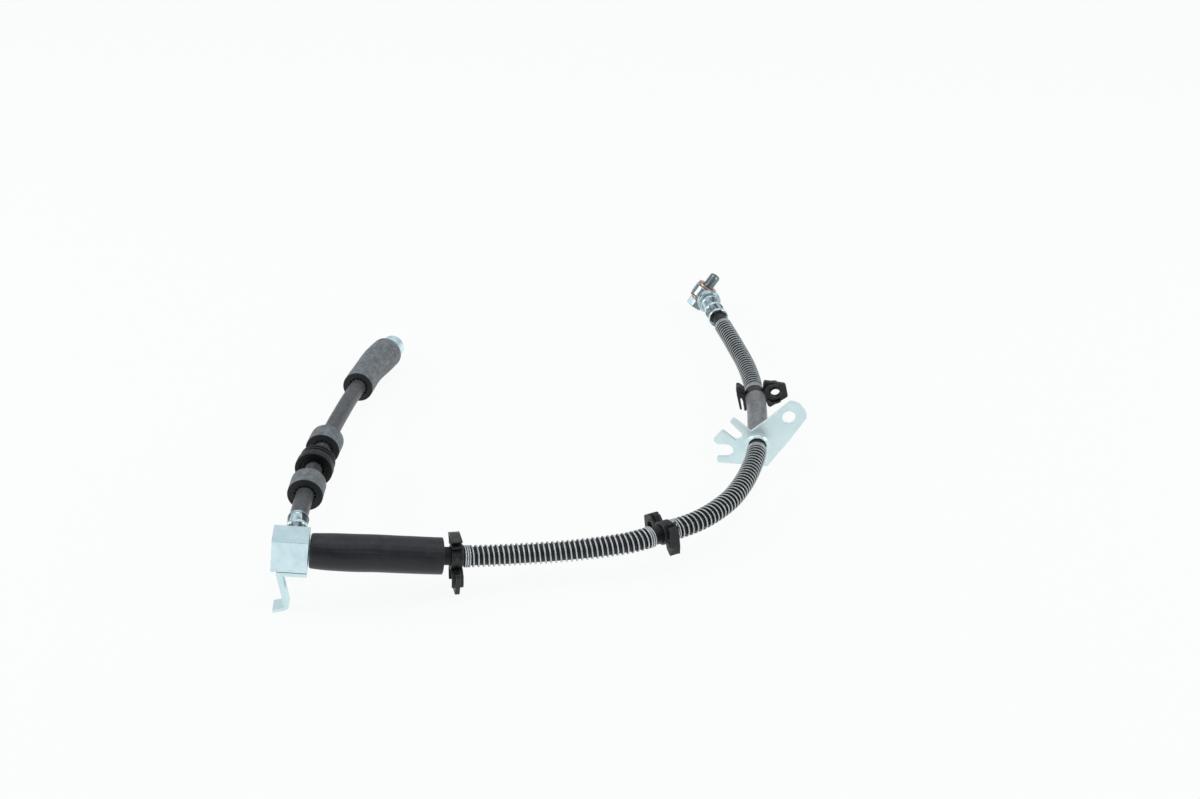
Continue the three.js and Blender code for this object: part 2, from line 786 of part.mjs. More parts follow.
// Bracket sheet with its lobe bent back about the bend line, and its round hole cut square to the lobe
function foldLobe(flat) {
  const [ax, ay] = bendLinePoint;
  const [bx, by] = bendLineEnd;
  const line = new THREE.Vector3(bx - ax, by - ay, 0).normalize();
  const size = 120;
  const mask = new THREE.BoxGeometry(size, size, size).translate(0, size / 2, 0);
  mask.rotateZ(Math.atan2(line.y, line.x)).translate(ax, ay, 0);
  const lobe = geometryOf(flat.intersect(solid(mask)));
  const body = flat.subtract(solid(mask));
  const [holeX, holeY] = bracketLobe;
  const hole = rod(bracketHoleDiameter / 2, -bracketSheet - overrun, overrun, 16).translate(holeX, holeY, 0);
  const turn = new THREE.Matrix4().makeTranslation(ax, ay, -bracketSheet / 2);
  turn.multiply(new THREE.Matrix4().makeRotationAxis(line, -lobeBend * THREE.MathUtils.DEG2RAD));
  turn.multiply(new THREE.Matrix4().makeTranslation(-ax, -ay, bracketSheet / 2));
  const knuckle = rod(bracketSheet / 2 - 0.02, 0, Math.hypot(bx - ax, by - ay), 12);
  knuckle.applyMatrix4(new THREE.Matrix4().lookAt(line, new THREE.Vector3(), up));
  knuckle.translate(ax, ay, -bracketSheet / 2);
  const bentLobe = solid(lobe.applyMatrix4(turn)).subtract(solid(hole.applyMatrix4(turn)));
  return body.add(bentLobe).add(solid(knuckle));
}

// Banjo fitting: nipple, collar and neck along the hose, and an eye across them for the bolt
function banjoFitting() {
  const bore = nippleBore / 2;
  const stem = nippleDiameter / 2;
  const low = ferruleBack + seatGap;
  const collar = banjoCollarDiameter / 2;
  const neck = banjoNeckDiameter / 2;
  const stalk = turned([
    [0, -nippleReach],
    [stem, -nippleReach],
    [stem, low],
    [collar - 0.8, low],
    [collar, low + 0.8],
    [collar, low + banjoCollarLength],
    [neck, low + banjoCollarLength + 1.6],
    [neck, banjoReach],
    [0, banjoReach],
  ], 16);
  const eye = turned([
    [0, -eyeHeight / 2],
    [eyeDiameter / 2 - 0.6, -eyeHeight / 2],
    [eyeDiameter / 2, -eyeHeight / 2 + 0.6],
    [eyeDiameter / 2, eyeHeight / 2 - 0.6],
    [eyeDiameter / 2 - 0.6, eyeHeight / 2],
    [0, eyeHeight / 2],
  ], 20);
  const eyeHole = rod(eyeBore / 2, -eyeHeight, eyeHeight, 18);
  for (const geometry of [eye, eyeHole]) geometry.applyMatrix4(boltFrame());
  const passage = rod(bore, -nippleReach - overrun, banjoReach, 8);
  return combine(stalk, [eye], [eyeHole, passage]);
}

// Frame of the bolt in the hose's end frame: z along the bolt towards its tip, at the eye's centre
function boltFrame() {
  const tilt = new THREE.Matrix4().makeRotationZ(banjoTilt * THREE.MathUtils.DEG2RAD);
  const stand = new THREE.Matrix4().makeRotationX(-Math.PI / 2);
  const place = new THREE.Matrix4().makeTranslation(0, 0, banjoReach);
  return place.multiply(tilt).multiply(stand);
}

// Hollow banjo bolt: hexagon head, shank, an axial bore from the tip and a cross bore inside the eye
function banjoBolt() {
  const underHead = -eyeHeight / 2 - 2 * seatGap - washerThickness;
  const tip = eyeHeight / 2 + 2 * seatGap + washerThickness + boltReach;
  const cornerRadius = boltHeadFlats / 2 / Math.cos(Math.PI / 6);
  const shank = turned([
    [0, underHead - 1],
    [boltDiameter / 2, underHead - 1],
    [boltDiameter / 2, tip - 1],
    [boltDiameter / 2 - 1, tip],
    [0, tip],
  ], 16);
  const head = rod(cornerRadius, underHead - boltHeadHeight, underHead, 6);
  const bore = rod(boltBore / 2, -boltCrossBore, tip + overrun, 10);
  const cross = rod(boltCrossBore / 2, -boltDiameter, boltDiameter, 8).rotateX(Math.PI / 2);
  return combine(shank, [head], [bore, cross]);
}

// Pieces that stand on a route, bent to it or set square to it
function addBent(name, geometry, curve, place, finish) {
  addPiece(name, bent(geometry, curve, place), finish);
}

function addSquare(name, geometry, curve, place, finish) {
  const group = new THREE.Group();
  frameAt(curve, place).decompose(group.position, group.quaternion, group.scale);
  root.add(group);
  addPiece(name, geometry, finish, group);
  return group;
}

// Block group: the block and the bracket under it
const blockGroup = new THREE.Group();
blockGroup.position.set(...blockCentre);
blockGroup.rotation.order = 'ZYX';
blockGroup.rotation.set(0, blockLean * THREE.MathUtils.DEG2RAD, blockYaw * THREE.MathUtils.DEG2RAD);
root.add(blockGroup);
addPiece('junction_block', junctionBlock(), 'zinc', blockGroup);
addPiece('block_bracket', blockBracket(), 'zincDull', blockGroup);

// Short hose and what is on it
addPiece('link_hose', hose(linkRoute, linkHoseSteps), 'hoseRubber');
addBent('rear_ferrule', ferrule(ferruleDiameter, ferruleLength), linkRoute, -ferruleBack, 'zinc');
addSquare('rear_nipple', nipple(), linkRoute, 0, 'zincDull');
addBent('bush_front', bush(), linkRoute, bushPlaces[0], 'greyRubber');
addPiece('spool_grommet', spool(), 'blackRubber');
addBent('bush_rear', bush(), linkRoute, bushPlaces[1], 'greyRubber');
addPiece('end_sleeve', endSleeve(), 'greyRubber');
addBent('end_ferrule', ferrule(ferruleDiameter, endFerruleLength).rotateX(Math.PI), linkRoute,
  linkLength + ferruleBack, 'zinc');
addSquare('end_fitting', endFitting(), linkRoute, linkLength, 'zinc');

// Long hose and what is on it
addPiece('main_hose', hose(mainRoute, mainHoseSteps), 'hoseRubber');
addBent('side_ferrule', ferrule(ferruleDiameter, ferruleLength), mainRoute, -ferruleBack, 'zinc');
addSquare('side_nipple', nipple(), mainRoute, 0, 'zincDull');
addBent('guard_sleeve', guardSleeve(), mainRoute, guardSleeveStart, 'blackRubber');
for (const { name, place, plateAngle, lean, flipped } of clips) {
  addSquare(name, clip(plateAngle, lean, flipped), mainRoute, place, 'blackPlastic');
}

// Springs fill the stretches between the clips, the bracket and the banjo ferrule
const collarFront = bracketPlace - collarRise;
const banjoFerruleMouth = mainLength + ferruleBack - banjoFerruleLength;
const springSpans = [
  [clips[0].place + halfClip + seatGap, clips[1].place - halfClip - springRest],
  [clips[1].place + halfClip + seatGap, collarFront - springTailGap],
  [clips[2].place + halfClip + seatGap, banjoFerruleMouth - 3 * springTailGap],
];
springSpans.forEach(([start, end], i) => {
  addPiece(`spring_${i + 1}`, spring(start, end, springPitches[i]), 'springSteel');
});

// Support bracket stands upright on the table, square to the hose in plan
const bracketGroup = new THREE.Group();
const bracketFrame = frameAt(mainRoute, bracketPlace);
const bracketPoint = new THREE.Vector3().setFromMatrixPosition(bracketFrame);
const bracketAlong = new THREE.Vector3().setFromMatrixColumn(bracketFrame, 2).setZ(0).normalize();
const bracketRight = new THREE.Vector3().crossVectors(bracketAlong, up);
const bracketBasis = new THREE.Matrix4().makeBasis(bracketRight, up, bracketAlong.clone().negate());
bracketGroup.quaternion.setFromRotationMatrix(bracketBasis);
bracketGroup.position.set(bracketPoint.x, bracketPoint.y, bracketHeight);
root.add(bracketGroup);
addPiece('support_bracket', supportBracket(), 'zinc', bracketGroup);

// Grey sleeve from the bracket's rear face to the third clip
const sleeveProfile = divided([
  [seatRadius, 0],
  [bracketSleeveDiameter / 2, 0],
  [bracketSleeveDiameter / 2, bracketSleeveLength],
  [seatRadius, bracketSleeveLength],
  [seatRadius, 0],
]);
addBent('bracket_sleeve', turned(sleeveProfile, 16), mainRoute, sleeveStart, 'greyRubber');

// Banjo end: ferrule, fitting, bolt and two washers
addBent('banjo_ferrule', ferrule(banjoFerruleDiameter, banjoFerruleLength).rotateX(Math.PI), mainRoute,
  mainLength + ferruleBack, 'zinc');
const banjoGroup = addSquare('banjo_fitting', banjoFitting(), mainRoute, mainLength, 'zinc');
const boltGroup = new THREE.Group();
boltFrame().decompose(boltGroup.position, boltGroup.quaternion, boltGroup.scale);
banjoGroup.add(boltGroup);
addPiece('banjo_bolt', banjoBolt(), 'zincDull', boltGroup);
const washerLow = eyeHeight / 2 + seatGap;
const washerHigh = washerLow + washerThickness;
addPiece('copper_washer_upper', ring(washerBore / 2, washerDiameter / 2, washerLow, washerHigh, 20), 'copper', boltGroup);
addPiece('copper_washer_lower', ring(washerBore / 2, washerDiameter / 2, -washerHigh, -washerLow, 20), 'copper', boltGroup);

export default root;
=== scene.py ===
"""Dresses the brake hose: finer surfaces and finishes for its hoses, springs, clips and fittings.

All shapes are in metres in the part's own frame. Round pieces are profiles of radius and height carried
along a hose's route; flat pieces are outlines with rounded edges.
"""

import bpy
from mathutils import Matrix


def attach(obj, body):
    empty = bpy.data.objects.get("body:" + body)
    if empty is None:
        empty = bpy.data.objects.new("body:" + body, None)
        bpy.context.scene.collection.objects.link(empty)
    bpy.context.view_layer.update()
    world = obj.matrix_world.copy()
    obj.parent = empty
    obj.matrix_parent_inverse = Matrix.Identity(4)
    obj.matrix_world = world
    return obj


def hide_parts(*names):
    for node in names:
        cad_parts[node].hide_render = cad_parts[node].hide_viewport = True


bl_info = {
    "name": "Brake hose",
    "version": (1, 0, 0),
    "blender": (4, 5, 0),
    "location": "3D View > Sidebar > Brake hose",
    "description": "Builds the looks of a twin brake hose with a junction block and a banjo end",
    "category": "Add Mesh",
}

import math

import bpy
import numpy as np
from bpy.props import FloatProperty, FloatVectorProperty, IntProperty, PointerProperty
from mathutils import Matrix, Vector
from mathutils.geometry import tessellate_polygon

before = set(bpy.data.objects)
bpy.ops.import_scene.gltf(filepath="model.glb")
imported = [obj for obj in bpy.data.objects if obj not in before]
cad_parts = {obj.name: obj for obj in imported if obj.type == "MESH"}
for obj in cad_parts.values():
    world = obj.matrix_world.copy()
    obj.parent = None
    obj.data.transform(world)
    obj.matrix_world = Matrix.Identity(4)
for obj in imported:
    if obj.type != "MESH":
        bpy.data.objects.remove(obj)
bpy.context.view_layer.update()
MM = 0.001

# Points of the hoses' centre lines, given in millimetres and kept in metres
MAIN_POINTS = np.array([
    [-133.4, -187.6, 36.2], [-124.5, -186.7, 35], [-113.5, -184.6, 33.1], [-102.5, -181.7, 30.9],
    [-92, -179.2, 28.7], [-81, -176.7, 26.6], [-70, -174.7, 24.7], [-61, -172.9, 23.4],
    [-55.5, -171.7, 22.4], [-45, -169.2, 20.9], [-31, -166.2, 19.7], [-20, -164.2, 19.2],
    [-2.5, -161.7, 19.1], [15, -158.9, 19.3], [32, -155, 19.5], [43.6, -151.5, 19.6],
    [52.6, -147.2, 19.6], [61.7, -141.5, 19.5], [73.2, -135.1, 19.2], [84.1, -127.3, 18.8],
    [94.8, -116.4, 18.4], [105.3, -102.3, 18], [113.7, -85.4, 17.7], [120.2, -67.7, 17.4],
    [125, -49.9, 17.1], [127.6, -33.1, 17], [129.2, -12.7, 16.8], [130.4, 10, 16.4],
    [130.6, 27.3, 16.1], [129.8, 51.3, 15.8], [127.1, 74.3, 15.6], [123.6, 91.8, 15.6],
    [119.9, 109.6, 15.6], [116.4, 125.3, 15.6], [111.4, 150.3, 15], [107.9, 167.9, 14.65],
]) * MM
LINK_POINTS = np.array([
    [-144.6, -178.5, 37.6], [-145.9, -165.3, 37.6], [-146.9, -152.5, 37.3], [-147.4, -131.7, 36.3],
    [-147.7, -119.7, 35.5], [-147.8, -105.7, 34.5], [-147.5, -92.7, 33.4], [-146.9, -74.7, 32],
    [-146.2, -57.7, 30.4], [-145.4, -41.7, 28.9], [-144, -23.7, 27.1], [-142.2, -2.7, 24.8],
    [-140, 17.3, 22.3], [-138.4, 35.3, 19.8], [-136.5, 52.8, 17.2], [-134.1, 69.4, 14.2],
    [-131.3, 82.9, 12],
]) * MM

# Places along the hoses and the sizes of what is on them, in millimetres
FERRULE_BACK = 1.8
FERRULE_LENGTH = 22.0
BANJO_FERRULE_LENGTH = 26.5
CLIP_HALF = 3.4
GUARD_START = -1.5
GUARD_LENGTH = 74.0
SLEEVE_SPAN = (334.6, 391.8)
BUSH_PLACES = (45.2, 101.8)
SPOOL_PLACE = 75.2
END_SLEEVE_LENGTH = 71.0
END_SLEEVE_PAST = 5.4  # beyond the hose's end
REAR_FERRULE = (6.4, -0.25)  # radius, lip
BANJO_FERRULE = (7.2, 0.35)
CLIP_PLACES = {  # place, angle of the plate, lean, faces back
    "clip_1": (80.5, -101.5, -6, False),
    "clip_2": (205.5, -16, 0, True),
    "clip_3": (395.5, 166, 0, True),
}
BRACKET_PLACE = 332.3
BRACKET_HEIGHT = 17.0
LOBE_CENTRE = np.array([18.6, 20.6])
BEND_START = np.array([5.4, 17.0])
BEND_SIDE = np.array([12.0, 16.7]) / math.hypot(12.0, 16.7)
BEND_ANGLE = math.radians(8)
SHEET_THICKNESS = 2.0
BANJO_REACH = 21.8
BANJO_TILT = 34.4
TOOTHED_BORE = 6.5  # radius between the teeth of the bushes
THREAD_PITCH = 1.0 * MM
FITTING_BORE = 4.5  # radius of the pipe fitting's thread
BLOCK_CENTRE = np.array([-145.3, -188.7, 37.8]) * MM
BLOCK_TURNS = (math.radians(5.5), math.radians(7.5))
BLOCK_HALVES = (10.0, 8.0, 10.25)
SPRING_PITCHES = (3.0, 3.3, 3.2)
SPRING_PLAY = 0.12 * MM  # between the wire and the hose
SPRING_GAP = 0.3
SPRING_REST = 5.2  # bare hose before the second clip
SPRING_CLEAR = 7.0  # bare hose before the bracket
SPRING_TAIL = 12.0  # bare hose before the banjo ferrule

SPAN_SAMPLES = 240  # between two points of a centre line

# Camera of the photograph
CAMERA_PLACE = (0.0245, -0.8617, 0.532)
CAMERA_FALL = math.radians(30.3845)
CAMERA_ROLL = math.radians(-1.02)
CAMERA_LENS = 45.0
CAMERA_SENSOR = 36.0

# Light on the part
WORLD_COLOUR = (0.86, 0.93, 1.0, 1.0)
WORLD_STRENGTH = 0.34
FLOOR_HALF = 30.0
FLOOR_GLOW = (0.99, 1.0, 1.0, 1.0)
FLOOR_GLOW_SHARE = 0.92
LAMPS = (  # name, place, aim, width and depth, power
    ("lamp_top", (0.0, 0.1, 1.7), (0.0, 0.0, 0.0), (1.5, 1.2), 7.0),
    ("lamp_left", (-1.5, -0.2, 0.75), (-0.1, 0.0, 0.0), (0.8, 0.8), 9.0),
    ("lamp_right", (1.5, -0.3, 0.8), (0.1, 0.0, 0.0), (0.7, 0.8), 8.0),
    ("panel_back", (0.0, 2.4, 1.3), (0.0, 0.0, 0.0), (3.6, 1.3), 9.0),
)


def length_value(name, description, default):
    """A size in metres that a user can change."""
    return FloatProperty(name=name, description=description, default=default, min=0.0, unit="LENGTH")


def colour_value(name, description, default):
    """A colour that a user can change."""
    return FloatVectorProperty(name=name, description=description, default=default, subtype="COLOR",
                               size=3, min=0.0, max=1.0)


class BrakeHoseSizes(bpy.types.PropertyGroup):
    """Sizes that a user may want to change."""

    hose: length_value("Hose", "Outer diameter of both hoses", 0.0105)
    bore: length_value("Bore", "Inner diameter of both hoses", 0.0036)
    wire: length_value("Spring wire", "Diameter of the spring guards' wire", 0.00108)
    bush: length_value("Bush", "Outer diameter of the two grey bushes", 0.021)
    spool: length_value("Spool", "Outer diameter of the black grommet", 0.023)
    guard: length_value("Guard sleeve", "Outer diameter of the black sleeve", 0.0212)
    bracket_sleeve: length_value("Bracket sleeve", "Outer diameter of the grey sleeve", 0.0136)
    edge: length_value("Edge", "Rounding of the metal pieces' edges", 0.0003)
    teeth: IntProperty(name="Teeth", description="Teeth inside each bush", default=14, min=6, max=40)


class BrakeHoseColours(bpy.types.PropertyGroup):
    """Colours of the finishes."""

    zinc: colour_value("Zinc", "Bright zinc plating", (0.77, 0.95, 0.995))
    zinc_shade: colour_value("Zinc shade", "Clouded zinc plating", (0.57, 0.77, 0.83))
    spring: colour_value("Spring", "Spring wire", (0.70, 0.74, 0.745))
    copper: colour_value("Copper", "Sealing washers", (0.78, 0.47, 0.37))
    rubber: colour_value("Hose rubber", "Outer layer of the long hose", (0.014, 0.015, 0.017))
    short: colour_value("Short hose rubber", "Outer layer of the short hose", (0.082, 0.088, 0.092))
    guard: colour_value("Black sleeve rubber", "Sleeve beside the block", (0.0075, 0.0085, 0.0112))
    black: colour_value("Black rubber", "Grommet between the bushes", (0.0075, 0.0072, 0.008))
    grey: colour_value("Grey rubber", "Bushes and grey end sleeve", (0.20, 0.222, 0.233))
    sleeve: colour_value("Bracket sleeve", "Grey sleeve behind the bracket", (0.22, 0.232, 0.238))
    plastic: colour_value("Black plastic", "Clips", (0.008, 0.0078, 0.009))
    floor: colour_value("Floor", "Floor under the part", (0.93, 0.94, 0.95))


def sizes():
    """The sizes in use."""
    return bpy.context.scene.brake_hose_sizes


def colours():
    """The colours in use."""
    return bpy.context.scene.brake_hose_colours


# Routes and profiles


def frame_matrix(x, y, z, origin):
    """Frame with the given axes and origin, as a 4 by 4 array."""
    matrix = np.eye(4)
    matrix[:3] = np.stack([x, y, z, origin], 1)
    return matrix


class Route:
    """Centripetal Catmull-Rom curve through given points, measured along its length."""

    def __init__(self, points):
        """Between two points the curve is the cubic whose end slopes are the differences to the
        neighbouring points, each divided by the square root of its distance."""
        ends = np.vstack([2 * points[0] - points[1], points, 2 * points[-1] - points[-2]])
        a, b, c, d = ends[:-3], ends[1:-2], ends[2:-1], ends[3:]
        before, here, after = (np.sqrt(np.linalg.norm(q - p, axis=1))[:, None] for p, q in
                               ((a, b), (b, c), (c, d)))
        start = ((b - a) / before - (c - a) / (before + here) + (c - b) / here) * here
        stop = ((c - b) / here - (d - b) / (here + after) + (d - c) / after) * here
        t = np.linspace(0, 1, SPAN_SAMPLES, endpoint=False)[None, :, None]
        cubic = (b[:, None] + start[:, None] * t
                 + (3 * (c - b) - 2 * start - stop)[:, None] * t ** 2
                 + (2 * (b - c) + start + stop)[:, None] * t ** 3)
        self.samples = np.vstack([cubic.reshape(-1, 3), points[-1]])
        steps = np.linalg.norm(np.diff(self.samples, axis=0), axis=1)
        self.marks = np.concatenate([[0], np.cumsum(steps)])
        self.length = float(self.marks[-1])
        self.slopes = np.gradient(self.samples, self.marks, axis=0)

    def at(self, heights):
        """Centre, left, over and along at each distance; past the ends the curve runs straight on."""
        heights = np.asarray(heights, float)
        inside = np.clip(heights, 0, self.length)
        along = np.stack([np.interp(inside, self.marks, self.slopes[:, k]) for k in range(3)], -1)
        along /= np.linalg.norm(along, axis=-1, keepdims=True)
        centre = np.stack([np.interp(inside, self.marks, self.samples[:, k]) for k in range(3)], -1)
        centre = centre + along * (heights - inside)[..., None]
        left = np.cross([0.0, 0.0, 1.0], along)
        left /= np.linalg.norm(left, axis=-1, keepdims=True)
        return centre, left, np.cross(along, left), along

    def matrix(self, place):
        """Frame of the route at one distance: x left of travel, y over, z along."""
        centre, left, over, along = (v[0] for v in self.at([place]))
        return frame_matrix(left, over, along, centre)


class Shaft:
    """A straight axis given by a frame, used as a route is."""

    def __init__(self, matrix):
        self.frame = np.array(matrix, float)

    def at(self, heights):
        """The same frame at each height, moved along its z axis."""
        heights = np.asarray(heights, float)
        left, over, along, origin = (self.frame[:3, k] for k in range(4))
        wide = heights.shape + (3,)
        centre = origin + along * heights[..., None]
        return centre, np.broadcast_to(left, wide), np.broadcast_to(over, wide), np.broadcast_to(along, wide)


MAIN = Route(MAIN_POINTS)
LINK = Route(LINK_POINTS)


def turned_matrix(axis, angle):
    """Turn about a main axis, as a 4 by 4 array."""
    return np.array(Matrix.Rotation(angle, 4, axis))


def moved_matrix(x, y, z):
    """Move by x, y and z in metres, as a 4 by 4 array."""
    return np.array(Matrix.Translation((x, y, z)))


BLOCK_FRAME = (moved_matrix(*BLOCK_CENTRE) @ turned_matrix("Z", BLOCK_TURNS[0])
               @ turned_matrix("Y", BLOCK_TURNS[1]))
EYE_FRAME = (MAIN.matrix(MAIN.length) @ moved_matrix(0, 0, BANJO_REACH * MM)
             @ turned_matrix("Z", math.radians(BANJO_TILT)) @ turned_matrix("X", -math.pi / 2))


def bracket_frame():
    """Frame of the support bracket: x to the right seen along the hose, y up, z back along it."""
    centre, _, _, along = (v[0] for v in MAIN.at([BRACKET_PLACE * MM]))
    along = np.array([along[0], along[1], 0.0]) / math.hypot(along[0], along[1])
    upward = [0.0, 0.0, 1.0]
    return frame_matrix(np.cross(along, upward), upward, -along, [centre[0], centre[1], BRACKET_HEIGHT * MM])


def eased(corners, rounding, steps=4):
    """Closed profile with each corner replaced by a parabola between points on its two sides.

    A point of the parabola is (1-t)^2 a + 2 t (1-t) corner + t^2 b, with a and b the given rounding away
    from the corner, but not past 45 % of a side. Also gives an edge value, used for wear and for painted edge
    highlights: 1 in the middle of an outer right angle, falling to 0 at its ends and for corners that hardly
    turn."""
    corners = np.array(corners, float)
    rounding = np.broadcast_to(np.array(rounding, float), len(corners))[:, None]
    before, after = np.roll(corners, 1, 0) - corners, np.roll(corners, -1, 0) - corners
    reach_a, reach_b = (np.linalg.norm(v, axis=1, keepdims=True) for v in (before, after))
    a = corners + before * np.minimum(rounding / reach_a, 0.45)
    b = corners + after * np.minimum(rounding / reach_b, 0.45)
    t = np.linspace(0, 1, steps + 1)[None, :, None]
    points = (1 - t) ** 2 * a[:, None] + 2 * t * (1 - t) * corners[:, None] + t ** 2 * b[:, None]
    outer = (after[:, 0] * before[:, 1] - after[:, 1] * before[:, 0]) > 0
    turn = np.clip(1 + (before * after).sum(1) / (reach_a * reach_b)[:, 0], 0, 1)
    worn = (outer * turn)[:, None] * (4 * t * (1 - t))[0, :, 0][None]
    return points.reshape(-1, 2), worn.reshape(-1)


def divided(points, worn, longest):
    """Closed profile with extra points on its long sides, evenly spaced and at most the given step."""
    ahead = np.roll(points, -1, 0)
    parts = np.maximum(1, np.ceil(np.abs(ahead - points)[:, 1] / longest).astype(int))
    which = np.repeat(np.arange(len(points)), parts)
    share = (np.arange(parts.sum()) - np.repeat(np.cumsum(parts) - parts, parts)) / parts[which]
    return points[which] + (ahead - points)[which] * share[:, None], np.where(share > 0, 0, worn[which])


def swept(angles, first, second):
    """Directions at angles from a first one towards a second one square to it."""
    return np.cos(angles)[..., None] * first + np.sin(angles)[..., None] * second


def grid_faces(rows, columns):
    """Four-sided faces of a grid that closes on itself both ways, wound so that rows going up the
    outside of a round piece face outwards."""
    j, i = np.meshgrid(np.arange(rows), np.arange(columns), indexing="ij")
    up, on = (j + 1) % rows, (i + 1) % columns
    corners = [j * columns + i, j * columns + on, up * columns + on, up * columns + i]
    return np.stack(corners, -1).reshape(-1, 4)


def toothed(radii, heights, angles, grip, root, teeth):
    """Radii of a bore with square teeth: inside the root radius, a point goes from the grip radius at a
    tooth to the root radius between teeth, by a steep cosine of the angle times the number of teeth."""
    wave = np.clip(0.5 - 2.2 * np.cos(teeth * angles), 0, 1)[None]
    inner = (radii < root)[:, None]
    return np.where(inner, grip + (root - grip) * wave, radii[:, None])


def crimped(radii, heights, angles, low, high):
    """Radii of a ferrule squeezed by flat jaws: outside its bore and in the squeezed stretch the outline is
    a polygon with as many sides as jaws, its flats a small depth under the circle."""
    jaws, depth, run_in, bore = 8, 0.28 * MM, 0.7 * MM, 5.6 * MM
    turn = (angles + math.pi / jaws) % (2 * math.pi / jaws) - math.pi / jaws
    flats = (radii[:, None] - depth) / np.cos(turn)[None]
    ramp = np.clip(np.minimum(heights - low, high - heights) / run_in, 0, 1)[:, None]
    inside = (radii > bore)[:, None] * ramp
    return radii[:, None] + inside * (np.minimum(flats, radii[:, None]) - radii[:, None])


def thread_wave(heights, angles):
    """Triangle wave from 0 to 1 of height over pitch less the share of a turn, so that a groove climbs one
    pitch a turn."""
    turn = heights[:, None] / THREAD_PITCH - angles[None] / (2 * math.pi)
    return np.abs((turn % 1.0) * 2 - 1)


def threads(radii, heights, angles, low):
    """Radii of a screw thread: above the given height the outside goes inwards by the thread's wave."""
    wave = thread_wave(heights, angles)
    bore, run_in, depth = 3.9 * MM, 0.8 * MM, 0.32 * MM
    cut = (radii > bore)[:, None] * np.clip((heights - low) / run_in, 0, 1)[:, None]
    return radii[:, None] - cut * wave * depth


def inner_thread(radii, heights, angles, low, high):
    """Radii of a threaded bore: it goes outwards by the thread's wave."""
    wave = thread_wave(heights, angles)
    wall, near, depth = FITTING_BORE * MM, 0.05 * MM, 0.4 * MM
    bore = (np.abs(radii - wall) < near)[:, None] * ((heights > low) & (heights < high))[:, None]
    return radii[:, None] + bore * wave * depth


def round_part(route, place, corners, rounding, sides, shape=None, longest=4.0, **shaping):
    """Closed round piece: a profile of radius and height pairs, in millimetres, carried round the route's
    centre line from the given place. shape may change the radius by height and angle. The value deep is 1
    on end faces and in bores: where the profile's radius changes faster than its height."""
    points, worn = divided(*eased(corners, rounding), longest)
    radii, heights = points[:, 0] * MM, points[:, 1] * MM
    angles = np.linspace(0, 2 * math.pi, sides, endpoint=False)
    wide = shape(radii, heights, angles, **shaping) if shape else np.repeat(radii[:, None], sides, 1)
    centre, left, over, _ = route.at(place * MM + heights)
    across = swept(angles, left[:, None], over[:, None])
    flat = np.stack([wide * np.cos(angles), wide * np.sin(angles),
                     np.repeat((place * MM + heights)[:, None], sides, 1)], -1)
    slope = np.roll(points, -1, 0) - np.roll(points, 1, 0)
    facing = np.abs(slope[:, 0]) / np.linalg.norm(slope, axis=1)
    deep = np.maximum(np.clip((facing - 0.35) / 0.3, 0, 1), radii < min(6.9 * MM, 0.88 * radii.max()))
    return {
        "points": (centre[:, None] + wide[..., None] * across).reshape(-1, 3),
        "faces": [grid_faces(len(heights), sides)],
        "straight": flat.reshape(-1, 3),
        "worn": np.repeat(worn, sides),
        "deep": np.repeat(deep, sides),
    }


def coil_part(route, start, end, pitch, coil_radius, wire_radius):
    """Spring of round wire. The wire's centre is on a helix round the route: at turn n its angle is 2 pi n
    and its height grows by the closed pitch in the end turns and by the open pitch between them. Round
    that centre the section is a circle in the plane of the outward direction and its cross product with
    the wire's direction. The value deep grows from 0 to 1 along the middle of the long hose."""
    closed, closed_pitch, per_turn, around = 3, 1.25, 36, 10
    deep_from, deep_over = 0.235, 0.09
    length = end - start - 2 * wire_radius / MM - 2 * closed * closed_pitch
    open_turns = round(length / pitch)
    open_pitch = length / open_turns
    turn = np.linspace(0, open_turns + 2 * closed, (open_turns + 2 * closed) * per_turn + 1)
    height = (np.minimum(turn, closed) * closed_pitch
              + np.clip(turn - closed, 0, open_turns) * open_pitch
              + np.maximum(turn - closed - open_turns, 0) * closed_pitch)
    place = start * MM + wire_radius + height * MM
    centre, left, over, _ = route.at(place)
    outward = swept(2 * math.pi * turn, left, over)
    middle = centre + coil_radius * outward
    along = np.gradient(middle, axis=0)
    along /= np.linalg.norm(along, axis=1, keepdims=True)
    side = np.cross(along, outward)
    side /= np.linalg.norm(side, axis=1, keepdims=True)
    round_angle = np.linspace(0, 2 * math.pi, around, endpoint=False)
    ring = swept(round_angle, outward[:, None], side[:, None])
    points = (middle[:, None] + wire_radius * ring).reshape(-1, 3)
    faces = grid_faces(len(turn), around)[:-around][:, ::-1]
    ends = [list(range(around)), list(range(len(points) - 1, len(points) - 1 - around, -1))]
    run = np.repeat((turn * 2 * math.pi * coil_radius)[:, None], around, 1)
    straight = np.stack([wire_radius * np.cos(round_angle)[None] + 0 * run,
                         wire_radius * np.sin(round_angle)[None] + 0 * run, run], -1)
    return {"points": points, "faces": [faces], "polygons": ends, "straight": straight.reshape(-1, 3),
            # 1 on the wire's outer side and 0 on its side towards the hose, where the spring finish paints
            # shade.
            "worn": np.repeat(np.cos(round_angle)[None] * 0.5 + 0.5, len(turn), 0).reshape(-1),
            # deep sets where the spring finish paints a dark reflection.
            "deep": np.repeat(np.clip((place - deep_from) / deep_over, 0, 1), around)}


